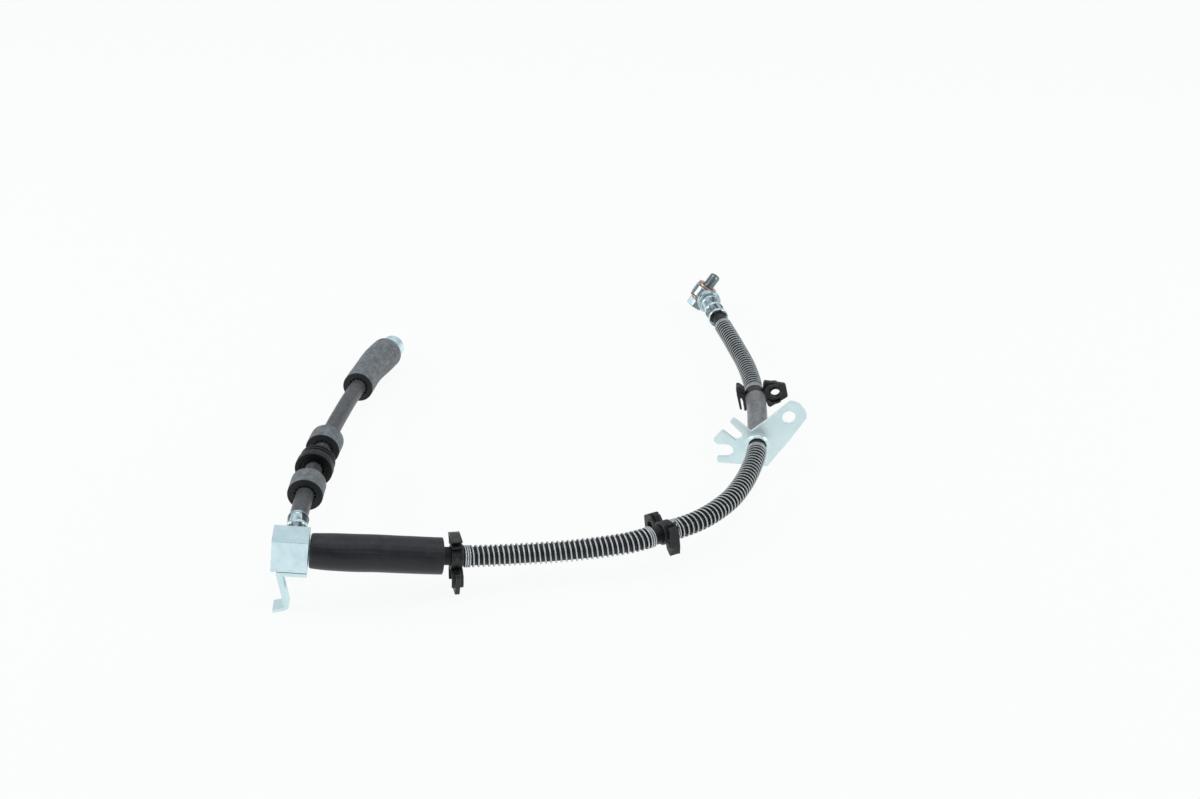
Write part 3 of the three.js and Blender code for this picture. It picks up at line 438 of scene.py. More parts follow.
def flat_part(outline, holes, low, high, edge, place, caps=None, bend=None):
    """Flat piece with rounded edges: an outline and its holes, in millimetres, at heights low to high.

    Going up the wall, a row of points is moved inwards by edge times 1 minus the sine of the corner's
    angle, square to the outline, so that each edge is a quarter circle in three steps. caps may divide the
    two flat faces into regions, each a list of point numbers of the outline and the numbers of its holes;
    bend may move the points before the piece is placed."""
    quarter = np.linspace(0, math.pi / 2, 4)
    inset = edge * np.concatenate([1 - np.sin(quarter), 1 - np.sin(quarter[::-1])])
    rise = edge * (1 - np.cos(quarter))
    heights = np.concatenate([low + rise, high - rise[::-1]])
    wear_and_painted_light_row = np.concatenate([np.sin(2 * quarter), np.sin(2 * quarter[::-1])])
    points, faces, worn, bottoms, tops, first = [], [], [], [], [], 0
    for loop in [outline] + list(holes):
        loop = np.array(loop, float)
        before, after = loop - np.roll(loop, 1, 0), np.roll(loop, -1, 0) - loop
        normals = [np.stack([-v[:, 1], v[:, 0]], 1) / np.linalg.norm(v, axis=1, keepdims=True)
                   for v in (before, after)]
        mitre = normals[0] + normals[1]
        mitre /= np.maximum((mitre * normals[0]).sum(1, keepdims=True), 0.35)
        count = len(loop)
        rows = loop[None] + inset[:, None, None] * mitre[None]
        level = np.repeat(heights[:, None], count, 1)[..., None]
        points.append(np.concatenate([rows, level], -1).reshape(-1, 3))
        faces.append(grid_faces(len(heights), count)[:-count] + first)
        worn.append(np.repeat(wear_and_painted_light_row, count))
        bottoms.append(first + np.arange(count))
        tops.append(first + (len(heights) - 1) * count + np.arange(count))
        first += len(heights) * count
    points = np.concatenate(points)
    caps = caps or [(slice(None), range(len(holes)))]
    for level, flip in ((bottoms, True), (tops, False)):
        for rim, inner in caps:
            index = [level[0][rim]] + [level[1 + number] for number in inner]
            order = np.concatenate(index)
            loops = [[(x, y, 0) for x, y in points[loop, :2]] for loop in index]
            triangles = np.array(tessellate_polygon(loops))
            corner = points[order][triangles][..., :2]
            spin = np.cross(corner[:, 1] - corner[:, 0], corner[:, 2] - corner[:, 0])
            upward = np.where((spin > 0)[:, None], triangles, triangles[:, ::-1])
            faces.append(order[upward[:, ::-1] if flip else upward])
    metres = (bend(points) if bend else points) * MM
    world = metres @ np.array(place)[:3, :3].T + np.array(place)[:3, 3]
    return {"points": world, "faces": faces, "straight": metres, "worn": np.concatenate(worn),
            "deep": np.zeros(len(points))}


def arc_points(x, y, radius, angle):
    """Points of a circle at the given angles."""
    return np.stack([x + radius * np.cos(angle), y + radius * np.sin(angle)], 1)


def circle_points(x, y, radius, count, clockwise=False):
    """Circle as an outline; a hole runs clockwise."""
    angle = np.linspace(0, 2 * math.pi, count, endpoint=False) * (-1 if clockwise else 1)
    return arc_points(x, y, radius, angle)


def rectangle(left, right, low, high):
    """Corners of a rectangle, as an outline or as the profile of a tube."""
    return [(left, low), (right, low), (right, high), (left, high)]


def soft_outline(corners, rounding, steps=3):
    """Outline whose corners are parabolas."""
    return eased(corners, rounding, steps)[0]


def make_piece(name, parts, finish_name, node, sharp=32.0):
    """One mesh object from closed parts, which stands for the given node and rides on the part's body."""
    points, faces, first = [], [], 0
    for part in parts:
        for block in part["faces"]:
            faces.extend((np.asarray(block) + first).tolist())
        faces.extend([[corner + first for corner in polygon] for polygon in part.get("polygons", [])])
        points.append(part["points"])
        first += len(part["points"])
    mesh = bpy.data.meshes.new(name)
    mesh.from_pydata(np.concatenate(points), [], faces)
    for key, kind, field in (("straight", "FLOAT_VECTOR", "vector"), ("worn", "FLOAT", "value"),
                             ("deep", "FLOAT", "value")):
        values = np.concatenate([part[key] for part in parts]).astype(np.float32)
        mesh.attributes.new(key, kind, "POINT").data.foreach_set(field, values.ravel())
    mesh.polygons.foreach_set("use_smooth", np.ones(len(mesh.polygons), bool))
    mesh.set_sharp_from_angle(angle=math.radians(sharp))
    mesh.update()
    mesh.materials.append(material(finish_name))
    settle(add_object(name, mesh), node)


def add_object(name, data):
    """New object in the scene."""
    thing = bpy.data.objects.new(name, data)
    bpy.context.scene.collection.objects.link(thing)
    return thing


def settle(piece, node):
    """Evens out a finished piece's shading and puts it on the part's body in place of its node."""
    piece.modifiers.new("Even shading", "WEIGHTED_NORMAL").keep_sharp = True
    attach(piece, "root")
    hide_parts(node)


# Shader node groups and materials


class Shader:
    """Short way to add and join nodes in a material or a group."""

    def __init__(self, tree):
        self.tree = tree

    def put(self, socket, value):
        """Joins another node's output to a socket, or sets the socket to a plain value."""
        if isinstance(value, bpy.types.NodeSocket):
            self.tree.links.new(value, socket)
        else:
            socket.default_value = value

    def add(self, kind, inputs=None, **settings):
        """Adds a node with its settings, and puts its inputs by name or number."""
        node = self.tree.nodes.new(kind)
        for key, value in settings.items():
            setattr(node, key, value)
        for key, value in (inputs or {}).items():
            self.put(node.inputs[key], value)
        return node

    def value(self, name):
        """A number that the mesh carries."""
        return self.add("ShaderNodeAttribute", attribute_name=name).outputs["Fac"]

    def straight(self):
        """The place on the piece as if its route were straight."""
        return self.add("ShaderNodeAttribute", attribute_name="straight").outputs["Vector"]

    def sum(self, operation, a, b=0.0, clamp=False):
        """Math node with two inputs."""
        return self.add("ShaderNodeMath", {0: a, 1: b}, operation=operation, use_clamp=clamp).outputs[0]

    def times(self, a, b):
        """Product of two values."""
        return self.sum("MULTIPLY", a, b)

    def between(self, value, low, high, to_low=0.0, to_high=1.0):
        """Map Range node, held inside its limits."""
        node = self.add("ShaderNodeMapRange", {"Value": value, "From Min": low, "From Max": high,
                                               "To Min": to_low, "To Max": to_high})
        return node.outputs["Result"]

    def mix(self, factor, a, b):
        """Mix of two colours."""
        return self.add("ShaderNodeMix", {0: factor, 6: a, 7: b}, data_type="RGBA").outputs[2]

    def layers(self, tone, *layers):
        """A tone with colours laid over it one after another, each by its own factor."""
        for factor, colour in layers:
            tone = self.mix(factor, tone, colour)
        return tone

    def noise(self, vector, scale, detail=3.0, roughness=0.55, distortion=0.0):
        """Noise value at the vector."""
        node = self.add("ShaderNodeTexNoise", {"Vector": vector, "Scale": scale, "Detail": detail,
                                               "Roughness": roughness, "Distortion": distortion})
        return node.outputs["Fac"]

    def stretched(self, vector, x, y, z):
        """Vector scaled on each axis."""
        return self.add("ShaderNodeMapping", {"Vector": vector, "Scale": (x, y, z)}).outputs["Vector"]


def new_group(name, amount, default, results):
    """Empty shader node group that takes a vector and one amount and gives plain values. Gives its shader,
    the vector, the amount and the sockets that the results go to."""
    group = bpy.data.node_groups.new(name, "ShaderNodeTree")
    group.interface.new_socket(name="Vector", in_out="INPUT", socket_type="NodeSocketVector")
    socket = group.interface.new_socket(name=amount, in_out="INPUT", socket_type="NodeSocketFloat")
    socket.default_value = default
    for title in results:
        group.interface.new_socket(name=title, in_out="OUTPUT", socket_type="NodeSocketFloat")
    shader = Shader(group)
    inside = shader.add("NodeGroupInput").outputs
    return shader, inside["Vector"], inside[amount], shader.add("NodeGroupOutput").inputs


def clouding_group():
    """Soft clouds and fine grain: two noises at the given size and at twelve times as fine."""
    shader, vector, size, out = new_group("Clouding", "Size", 100.0, ("Clouds", "Grain"))
    shader.put(out["Clouds"], shader.between(shader.noise(vector, size, 4.0, 0.6, 0.4), 0.3, 0.7))
    shader.put(out["Grain"], shader.noise(vector, shader.times(size, 12.0), 2.0, 0.6))


def scuff_group():
    """Thin scratches and specks: ridges of a stretched noise near its middle value, and small spots of a
    cell noise, both broken up by a larger noise."""
    shader, vector, amount, out = new_group("Scuffs", "Amount", 0.5, ("Scratches", "Specks"))
    ridges = []
    for turn, scale in (((0.4, 0.2, 0.9), (900, 60, 80)), ((1.2, 0.7, 0.1), (70, 800, 90))):
        tilted = shader.add("ShaderNodeMapping", {"Vector": vector, "Rotation": turn, "Scale": scale})
        wave = shader.noise(tilted.outputs["Vector"], 1.0, 2.0, 0.5, 0.3)
        off = shader.sum("ABSOLUTE", shader.sum("SUBTRACT", wave, 0.5))
        ridges.append(shader.between(off, 0.0, 0.012, 1.0, 0.0))
    patches = shader.between(shader.noise(vector, 130.0, 2.0), 0.5, 0.62)
    scratches = shader.times(shader.sum("MAXIMUM", *ridges), patches)
    cells = shader.add("ShaderNodeTexVoronoi", {"Vector": vector, "Scale": 900.0}).outputs["Distance"]
    rare = shader.between(shader.noise(vector, 420.0, 1.0), 0.56, 0.66)
    specks = shader.times(shader.between(cells, 0.06, 0.16, 1.0, 0.0), rare)
    shader.put(out["Scratches"], shader.times(scratches, amount))
    shader.put(out["Specks"], shader.times(specks, amount))


def dust_group():
    """Dust on upward faces: the normal's height, broken up by two noises."""
    shader, vector, amount, out = new_group("Dust", "Amount", 0.5, ("Dust",))
    normal = shader.add("ShaderNodeNewGeometry").outputs["Normal"]
    up = shader.add("ShaderNodeSeparateXYZ", {"Vector": normal}).outputs["Z"]
    coarse = shader.between(shader.noise(vector, 210.0, 4.0, 0.65), 0.35, 0.7)
    fine = shader.between(shader.noise(vector, 2400.0, 2.0, 0.6), 0.3, 0.75)
    dust = shader.times(shader.between(up, -0.1, 1.0), shader.times(coarse, fine))
    shader.put(out["Dust"], shader.times(dust, amount))


def groups():
    """The shared node groups, made once."""
    for name, build in (("Clouding", clouding_group), ("Scuffs", scuff_group), ("Dust", dust_group)):
        if name not in bpy.data.node_groups:
            build()
    return bpy.data.node_groups


def tint(colour, factor=1.0):
    """Colour as four numbers, made lighter or darker."""
    return tuple(min(1.0, channel * factor) for channel in colour[:3]) + (1.0,)


def start_material(name):
    """New material with its shader and the place on the piece."""
    made = bpy.data.materials.new(name)
    made.use_nodes = True
    shader = Shader(made.node_tree)
    return made, shader, shader.add("ShaderNodeTexCoord").outputs["Object"]


def shared(shader, name, **inputs):
    """One of the shared groups, placed in a material with its own values."""
    return shader.add("ShaderNodeGroup", inputs, node_tree=groups()[name]).outputs


def finish(shader, colour, roughness, height=None, strength=0.0, distance=0.0, metallic=0.0, specular=0.5):
    """Joins the colour, roughness and height to the surface, sets its constants and gives it back."""
    surface = shader.tree.nodes["Principled BSDF"]
    for name, value in (("Base Color", colour), ("Roughness", roughness), ("Metallic", metallic),
                        ("Specular IOR Level", specular)):
        shader.put(surface.inputs[name], value)
    if height is not None:
        bump = shader.add("ShaderNodeBump", {"Height": height, "Strength": strength, "Distance": distance})
        shader.put(surface.inputs["Normal"], bump.outputs["Normal"])
    return surface


def zinc_material(name, light=1.0, dark=1.0, roughness=0.3, cloud_size=150.0, metallic=0.82, edge_tone=1.1,
                  band_shade=0.0):
    """Zinc plating: bluish white clouded with a greyer tone, satin, with scratches, specks and edges in their
    own tone. light and dark change the two tones. With band_shade, the squeezed stretches get painted shade,
    broken into crinkles along the piece."""
    made, shader, place = start_material(name)
    bright, shade = tint(colours().zinc, light), tint(colours().zinc_shade, dark)
    clouds = shared(shader, "Clouding", Vector=place, Size=cloud_size)
    scuffs = shared(shader, "Scuffs", Vector=place, Amount=0.7)
    edge_patches = shader.between(clouds["Grain"], 0.35, 0.6, 0.4, 0.95)
    tone = shader.layers(
        bright,
        (shader.times(clouds["Clouds"], 0.6), shade),
        (shader.times(scuffs["Scratches"], 0.45), tint(bright, 1.2)),
        (shader.times(scuffs["Specks"], 0.6), tint(shade, 0.45)),
        (shader.times(shader.value("worn"), edge_patches), tint(bright, edge_tone)),
    )
    if band_shade:
        # Painted shade in the squeezed stretches, broken into crinkles.
        lengthwise = shader.stretched(shader.straight(), 210.0, 210.0, 40.0)
        crinkle_shade = shader.between(shader.noise(lengthwise, 1.0, 2.0, 0.5, 0.6), 0.50, 0.66, band_shade, 0.1 * band_shade)
        tone = shader.mix(shader.times(shader.value("deep"), crinkle_shade), tone, tint(shade, 0.06))
    rough = shader.between(clouds["Clouds"], 0.0, 1.0, roughness, roughness + 0.14)
    rough = shader.sum("ADD", rough, shader.times(scuffs["Scratches"], 0.15))
    height = shader.sum("SUBTRACT", clouds["Grain"], shader.times(scuffs["Scratches"], 0.8))
    finish(shader, tone, rough, height, 0.25, 0.00004, metallic)
    return made


def copper_material():
    """Soft copper: warm with darker tarnish clouds and brighter edges."""
    made, shader, place = start_material("Copper")
    base = colours().copper
    clouds = shared(shader, "Clouding", Vector=place, Size=260.0)
    tone = shader.layers(
        tint(base),
        (clouds["Clouds"], tint(base, 0.62)),
        (shader.times(shader.value("worn"), 0.6), tint(base, 1.25)),
    )
    rough = shader.between(clouds["Clouds"], 0.0, 1.0, 0.28, 0.48)
    finish(shader, tone, rough, clouds["Grain"], 0.2, 0.00004, 0.9)
    return made


def spring_material():
    """Drawn spring wire: bright with fine lines along the wire, with painted shade on its side towards the
    hose, and darker towards the hose's far end as a painted dark reflection."""
    made, shader, place = start_material("Spring wire")
    base = colours().spring
    clouds = shared(shader, "Clouding", Vector=place, Size=180.0)
    lines = shader.noise(shader.stretched(shader.straight(), 3200.0, 3200.0, 40.0), 1.0, 2.0, 0.5)
    # Painted dark reflection: the wire goes darker towards the hose's far end.
    overlay = shader.value("deep")
    # Painted shade on the wire's side towards the hose, lighter towards the far end.
    under = shader.between(shader.value("worn"), 0.55, 0.95, 0.9, 0.0)
    tone = shader.layers(
        tint(base, 0.9),
        (shader.between(lines, 0.35, 0.65), tint(base, 1.1)),
        (shader.times(clouds["Clouds"], 0.25), tint(base, 0.6)),
        (shader.times(under, shader.between(overlay, 0.0, 1.0, 1.0, 0.55)), tint(base, 0.08)),
        (shader.times(overlay, 0.5), tint(base, 0.42)),
    )
    rough = shader.between(clouds["Clouds"], 0.0, 1.0, 0.4, 0.5)
    finish(shader, tone, rough, lines, 0.08, 0.00002, 0.55)
    return made


def rubber_material(name, tone, roughness, dust, specular, streaked, pale=(0.32, 0.33, 0.34), ribs=0.0,
                    shade=0.0, mottle=0.0):
    """Rubber: one of the colours clouded darker and paler, pale streaks along the piece, fine pitting and
    dust on top. With ribs, as many cloth lines as given run along the piece; shade paints shade on end faces
    and bores, and mottle sets off small cells."""
    made, shader, _ = start_material(name)
    base, straight = getattr(colours(), tone), shader.straight()
    clouds = shared(shader, "Clouding", Vector=straight, Size=170.0)
    scuffs = shared(shader, "Scuffs", Vector=straight, Amount=0.9)
    overlay = shared(shader, "Dust", Vector=straight, Amount=dust)
    streaks = shader.noise(shader.stretched(straight, 620.0, 620.0, 22.0), 1.0, 4.0, 0.6)
    cells = shader.noise(shader.stretched(straight, 420.0, 420.0, 300.0), 1.0, 3.0, 0.6)
    tone = shader.layers(
        tint(base, 0.68),
        (clouds["Clouds"], tint(base, 1.35)),
        (shader.between(clouds["Grain"], 0.42, 0.6, 0.35, 0.0), tint(base, 0.5)),
        (shader.between(cells, 0.40, 0.5, mottle, 0.0), tint(base, 0.3)),
        (shader.between(cells, 0.52, 0.62, 0.0, mottle), tint(base, 1.7)),
        (shader.between(streaks, 0.42, 0.72, 0.0, streaked), tint(pale, 0.55)),
        (shader.times(scuffs["Specks"], 0.35), tint(pale)),
        (shader.times(scuffs["Scratches"], 0.3), tint(pale, 0.8)),
        (shader.times(overlay["Dust"], 0.55), tint(pale)),
        (shader.times(shader.value("worn"), 0.3), tint(pale, 0.6)),
        # Painted shade on end faces and in bores.
        (shader.times(shader.value("deep"), shade), tint(base, 0.12)),
    )
    rough = shader.between(streaks, 0.3, 0.7, roughness - 0.08, roughness + 0.1)
    rough = shader.sum("ADD", rough, shader.times(overlay["Dust"], 0.3), clamp=True)
    height = shader.sum("ADD", shader.times(clouds["Grain"], 0.5), shader.times(streaks, 0.6))
    if ribs:
        across = shader.add("ShaderNodeSeparateXYZ", {"Vector": straight}).outputs
        angle = shader.sum("ARCTAN2", across["Y"], across["X"])
        wave = shader.sum("SINE", shader.times(angle, ribs))
        height = shader.sum("ADD", height, shader.times(wave, 0.5))
    finish(shader, tone, rough, height, 0.35, 0.00006, specular=specular)
    return made


def plastic_material():
    """Moulded nylon: near black, fine spark texture, slight sheen, paler edges that are painted highlights.
    """
    made, shader, place = start_material("Black plastic")
    base = colours().plastic
    clouds = shared(shader, "Clouding", Vector=place, Size=320.0)
    scuffs = shared(shader, "Scuffs", Vector=place, Amount=0.9)
    overlay = shared(shader, "Dust", Vector=place, Amount=0.35)
    tone = shader.layers(
        tint(base, 0.8),
        (clouds["Clouds"], tint(base, 1.5)),
        (shader.times(scuffs["Scratches"], 0.4), (0.2, 0.2, 0.2, 1.0)),
        (shader.times(overlay["Dust"], 0.4), (0.24, 0.24, 0.25, 1.0)),
        # Painted highlights along the edges.
        (shader.times(shader.value("worn"), 0.4), (0.16, 0.155, 0.16, 1.0)),
    )
    rough = shader.between(clouds["Clouds"], 0.0, 1.0, 0.36, 0.55)
    finish(shader, tone, rough, clouds["Grain"], 0.45, 0.00006, specular=0.45)
    return made


def floor_material():
    """Pale floor: diffuse, and seen directly or in reflections partly as plain white, so that the
    background is white and a light shadow stays."""
    made, shader, place = start_material("Floor")
    base = colours().floor
    clouds = shared(shader, "Clouding", Vector=place, Size=6.0)
    tone = shader.mix(shader.times(clouds["Clouds"], 0.3), tint(base), tint(base, 0.98))
    surface = finish(shader, tone, 0.9, specular=0.1)
    path = shader.add("ShaderNodeLightPath").outputs
    seen = shader.sum("MAXIMUM", path["Is Camera Ray"], path["Is Glossy Ray"])
    seen = shader.sum("MAXIMUM", seen, path["Is Transmission Ray"])
    white = shader.add("ShaderNodeEmission", {"Color": FLOOR_GLOW, "Strength": 1.0})
    mixed = shader.add("ShaderNodeMixShader", {0: shader.times(seen, FLOOR_GLOW_SHARE),
                                               1: surface.outputs[0], 2: white.outputs[0]})
    output = next(node for node in shader.tree.nodes if node.type == "OUTPUT_MATERIAL")
    shader.put(output.inputs["Surface"], mixed.outputs[0])
    return made


FINISHES = {
    "zinc": (zinc_material, dict(name="Zinc", edge_tone=0.3)),
    "crimp": (zinc_material, dict(name="Zinc crimp", roughness=0.22, band_shade=0.95)),
    "banjo": (zinc_material, dict(name="Zinc banjo", light=0.72, dark=0.42, roughness=0.16, cloud_size=300.0,
                                  metallic=0.95)),
    "bolt": (zinc_material, dict(name="Zinc bolt", light=0.32, dark=0.2, roughness=0.2, metallic=0.95)),
    "sheet": (zinc_material, dict(name="Zinc sheet", light=1.1, dark=1.25, roughness=0.34, cloud_size=90.0,
                                  metallic=0.62)),
    "copper": (copper_material, {}),
    "spring": (spring_material, {}),
    "hose": (rubber_material, dict(name="Hose rubber", tone="rubber", roughness=0.45, dust=0.3, specular=0.3,
                                   streaked=0.2, pale=(0.16, 0.16, 0.16), ribs=60.0)),
    "short hose": (rubber_material, dict(name="Short hose rubber", tone="short", roughness=0.42, dust=0.3,
                                         specular=0.45, streaked=0.35, ribs=60.0, mottle=0.3)),
    "guard": (rubber_material, dict(name="Black sleeve rubber", tone="guard", roughness=0.42, dust=0.6,
                                    specular=0.45, streaked=0.18, pale=(0.12, 0.13, 0.15))),
    "black": (rubber_material, dict(name="Black rubber", tone="black", roughness=0.42, dust=0.2,
                                    specular=0.28, streaked=0.06, pale=(0.14, 0.14, 0.145), shade=0.6)),
    "grey": (rubber_material, dict(name="Grey rubber", tone="grey", roughness=0.6, dust=0.35, specular=0.3,
                                   streaked=0.35, shade=0.97, mottle=0.32)),
    "sleeve": (rubber_material, dict(name="Sleeve rubber", tone="sleeve", roughness=0.4, dust=0.3,
                                     specular=0.45, streaked=0.4, shade=0.6, mottle=0.15)),
    "plastic": (plastic_material, {}),
}
MATERIALS = {}


def material(name):
    """A finish by name, made when first asked for."""
    if name not in MATERIALS:
        maker, settings = FINISHES[name]
        MATERIALS[name] = maker(**settings)
    return MATERIALS[name]


def dress(mesh, name):
    """Gives a node's mesh its finish."""
    mesh.materials.clear()
    mesh.materials.append(material(name))


# Pieces


def hose_piece(name, route, finish_name, node):
    """Rubber tube along a route's whole length."""
    bore, outer, length = sizes().bore / 2 / MM, sizes().hose / 2 / MM, route.length / MM
    part = round_part(route, 0, rectangle(bore, outer, 0, length), 0.3, 40, longest=2.0)
    make_piece(name, [part], finish_name, node)


def ferrule_part(route, place, length, radius, lip, flip=False):
    """Crimped ferrule: a cup with a lip at its mouth, a squeezed band, a ring and a second band. The value
    deep is how far a point is under the rings, where the crimp finish paints shade."""
    hole, grip, wall, ring = 1.6, 5.3, 1.5, 0.44 * length
    profile = [
        (hole, 0), (radius, 0), (radius, 2.6), (radius - 0.55, 3.3), (radius - 0.6, ring),
        (radius, ring + 0.7), (radius + 0.05, ring + 2.6), (radius - 0.5, ring + 3.4),
        (radius - 0.55, length - 3.0), (radius + lip - 0.1, length - 2.1), (radius + lip, length - 0.6),
        (radius + lip - 0.5, length), (grip, length), (grip, wall), (hole, wall),
    ]
    low, high = ring + 3.0, length - 2.8
    if flip:
        profile = [(r, length - h) for r, h in profile][::-1]
        place, low, high = place - length, length - high, length - low
    part = round_part(route, place, profile, 0.35, 72, crimped, 3.0, low=low * MM, high=high * MM)
    part["deep"] = np.clip((radius * MM - np.linalg.norm(part["straight"][:, :2], axis=1)) / (0.4 * MM), 0, 1)
    return part


def sleeve_edge(radii, heights, angles, ridge_angle, ridge, outer):
    """Radii of a moulded sleeve: two slow waves, each a sine of height times a cosine of angle, and a thin
    parting ridge, a bell curve of the angle."""
    wave = 0.07 * np.sin(heights / (9.5 * MM))[:, None] * np.cos(2 * angles + 0.6)[None]
    wave = wave + 0.05 * np.sin(heights / (4.1 * MM) + 1.0)[:, None] * np.cos(3 * angles)[None]
    off = (angles - ridge_angle + math.pi) % (2 * math.pi) - math.pi
    line = ridge * np.exp(-(off / 0.035) ** 2)[None]
    outside = (radii > outer)[:, None]
    return radii[:, None] + outside * (wave + line) * MM


def guard_sleeve_piece():
    """Black sleeve beside the block: narrow and rounded at the block, then full width to a square end. Its
    edge value, which makes the rubber paler, is raised along the parting line by a bell curve of the angle."""
    outer, long, pocket = sizes().guard / 2 / MM, GUARD_LENGTH, FERRULE_LENGTH + 0.3
    wide_bore, bore = 6.7, 5.6
    profile = [
        (wide_bore, 0), (outer - 1.7, 0), (outer - 0.8, 0.7), (outer - 0.45, 5.0), (outer - 0.05, 12.0),
        (outer + 0.1, 24.0), (outer - 0.1, 42.0), (outer, 58.0), (outer, long), (bore, long), (bore, pocket),
        (wide_bore, pocket),
    ]
    rounding = [0.5, 0.7, 0.7, 3, 5, 8, 8, 8, 0.25, 0.4, 0.3, 0.3]
    ridge_angle, outside = 2.3, 9.0 * MM
    part = round_part(MAIN, GUARD_START, profile, rounding, 96, sleeve_edge, 2.5,
                      ridge_angle=ridge_angle, ridge=0.12, outer=outside)
    x, y = part["straight"][:, 0], part["straight"][:, 1]
    line = np.exp(-((np.arctan2(y, x) - ridge_angle) / 0.04) ** 2) * (np.hypot(x, y) > outside)
    part["worn"] = np.maximum(part["worn"], 0.55 * line)
    make_piece("guard_sleeve_skin", [part], "guard", "guard_sleeve")


def bracket_sleeve_piece():
    """Grey sleeve between the bracket and the third clip, flared a little at both ends."""
    bore, outer, start = 5.55, sizes().bracket_sleeve / 2 / MM, SLEEVE_SPAN[0]
    long = SLEEVE_SPAN[1] - start
    profile = [
        (bore, 0), (outer, 0), (outer - 0.1, 0.2 * long), (outer - 0.1, 0.6 * long), (outer + 0.05, long),
        (bore, long),
    ]
    part = round_part(MAIN, start, profile, [0.2, 0.4, 6, 6, 0.4, 0.2], 72, sleeve_edge, 3.0,
                      ridge_angle=2.2, ridge=0.1, outer=6.2 * MM)
    make_piece("bracket_sleeve_skin", [part], "sleeve", "bracket_sleeve")


def toothed_piece(name, node, place, profile, rounding, finish_name="grey"):
    """Round rubber piece on the short hose with a toothed bore."""
    part = round_part(LINK, place, profile, rounding, 168, toothed, 3.0, grip=5.3 * MM,
                      root=(TOOTHED_BORE + 0.05) * MM, teeth=sizes().teeth)
    make_piece(name, [part], finish_name, node)


def bush_pieces():
    """Two grey bushes and the black grommet between them."""
    bore, inner, outer, long = TOOTHED_BORE, 7.4, sizes().bush / 2 / MM, 14.2
    bush = [(bore, 0), (inner, 0), (outer, 0), (outer, long), (inner, long), (bore, long)]
    for end, place in zip(("front", "rear"), BUSH_PLACES):
        toothed_piece(f"{end}_bush", f"bush_{end}", place, bush, [0.2, 0.3, 0.4, 0.4, 0.3, 0.2])
    drum = sizes().spool / 2 / MM
    spool = [
        (bore, 0.9), (8.2, 0.9), (8.6, 0), (drum, 0), (drum, 6.4), (drum - 1.6, 7.0), (drum - 1.6, 8.2),
        (drum - 0.45, 8.6), (drum - 0.45, 9.9), (drum - 1.7, 10.2), (drum - 1.7, 11.2), (drum - 0.6, 11.6),
        (drum - 0.6, 13.3), (bore, 13.3),
    ]
    rounding = [0.2, 0.3, 0.4, 1.0, 0.8, 0.4, 0.4, 0.5, 0.5, 0.3, 0.3, 0.5, 0.6, 0.2]
    toothed_piece("grommet", "spool_grommet", SPOOL_PLACE, spool, rounding, "black")


def end_sleeve_piece():
    """Grey sleeve over the short hose's end, wider at its far mouth and standing past the hose."""
    bore, mouth, near, far, long, step = TOOTHED_BORE, 8.7, 10.2, 11.1, END_SLEEVE_LENGTH, 47.1
    profile = [
        (bore, 0), (7.6, 0), (near, 0), (near + 0.05, 10), (near - 0.2, 21), (near, 35), (far - 0.1, 48),
        (far + 0.1, 60), (far, long), (mouth, long), (mouth, step), (bore, step),
    ]
    rounding = [0.2, 0.4, 0.45, 5, 5, 7, 7, 6, 0.6, 0.5, 0.3, 0.3]
    start = LINK.length / MM + END_SLEEVE_PAST - long
    toothed_piece("end_sleeve_skin", "end_sleeve", start, profile, rounding)


def block_piece():
    """Junction block: a plated square body with eased edges, at its own lean."""
    wide, thick, high = BLOCK_HALVES
    outline = soft_outline(rectangle(-wide, wide, -thick, thick), 0.35)
    part = flat_part(outline, [], -high, high, 0.25, BLOCK_FRAME)
    make_piece("block_body", [part], "zinc", "junction_block")


def leg_bracket_piece():
    """Bracket under the block: the node's own faces joined, its flats merged and its edges rounded."""
    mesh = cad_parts["block_bracket"].data.copy()
    mesh.name = "leg_bracket"
    dress(mesh, "sheet")
    mesh.polygons.foreach_set("use_smooth", np.ones(len(mesh.polygons), bool))
    piece = add_object("leg_bracket", mesh)
    piece.modifiers.new("Join", "WELD").merge_threshold = 0.01 * MM
    join = piece.modifiers.new("Flat faces", "DECIMATE")
    join.decimate_type = "DISSOLVE"
    join.angle_limit = math.radians(1.0)
    bevel = piece.modifiers.new("Edges", "BEVEL")
    bevel.width = sizes().edge
    bevel.segments = 3
    bevel.limit_method = "ANGLE"
    bevel.angle_limit = math.radians(35.0)
    bevel.harden_normals = True
    bevel.use_clamp_overlap = True
    settle(piece, "block_bracket")


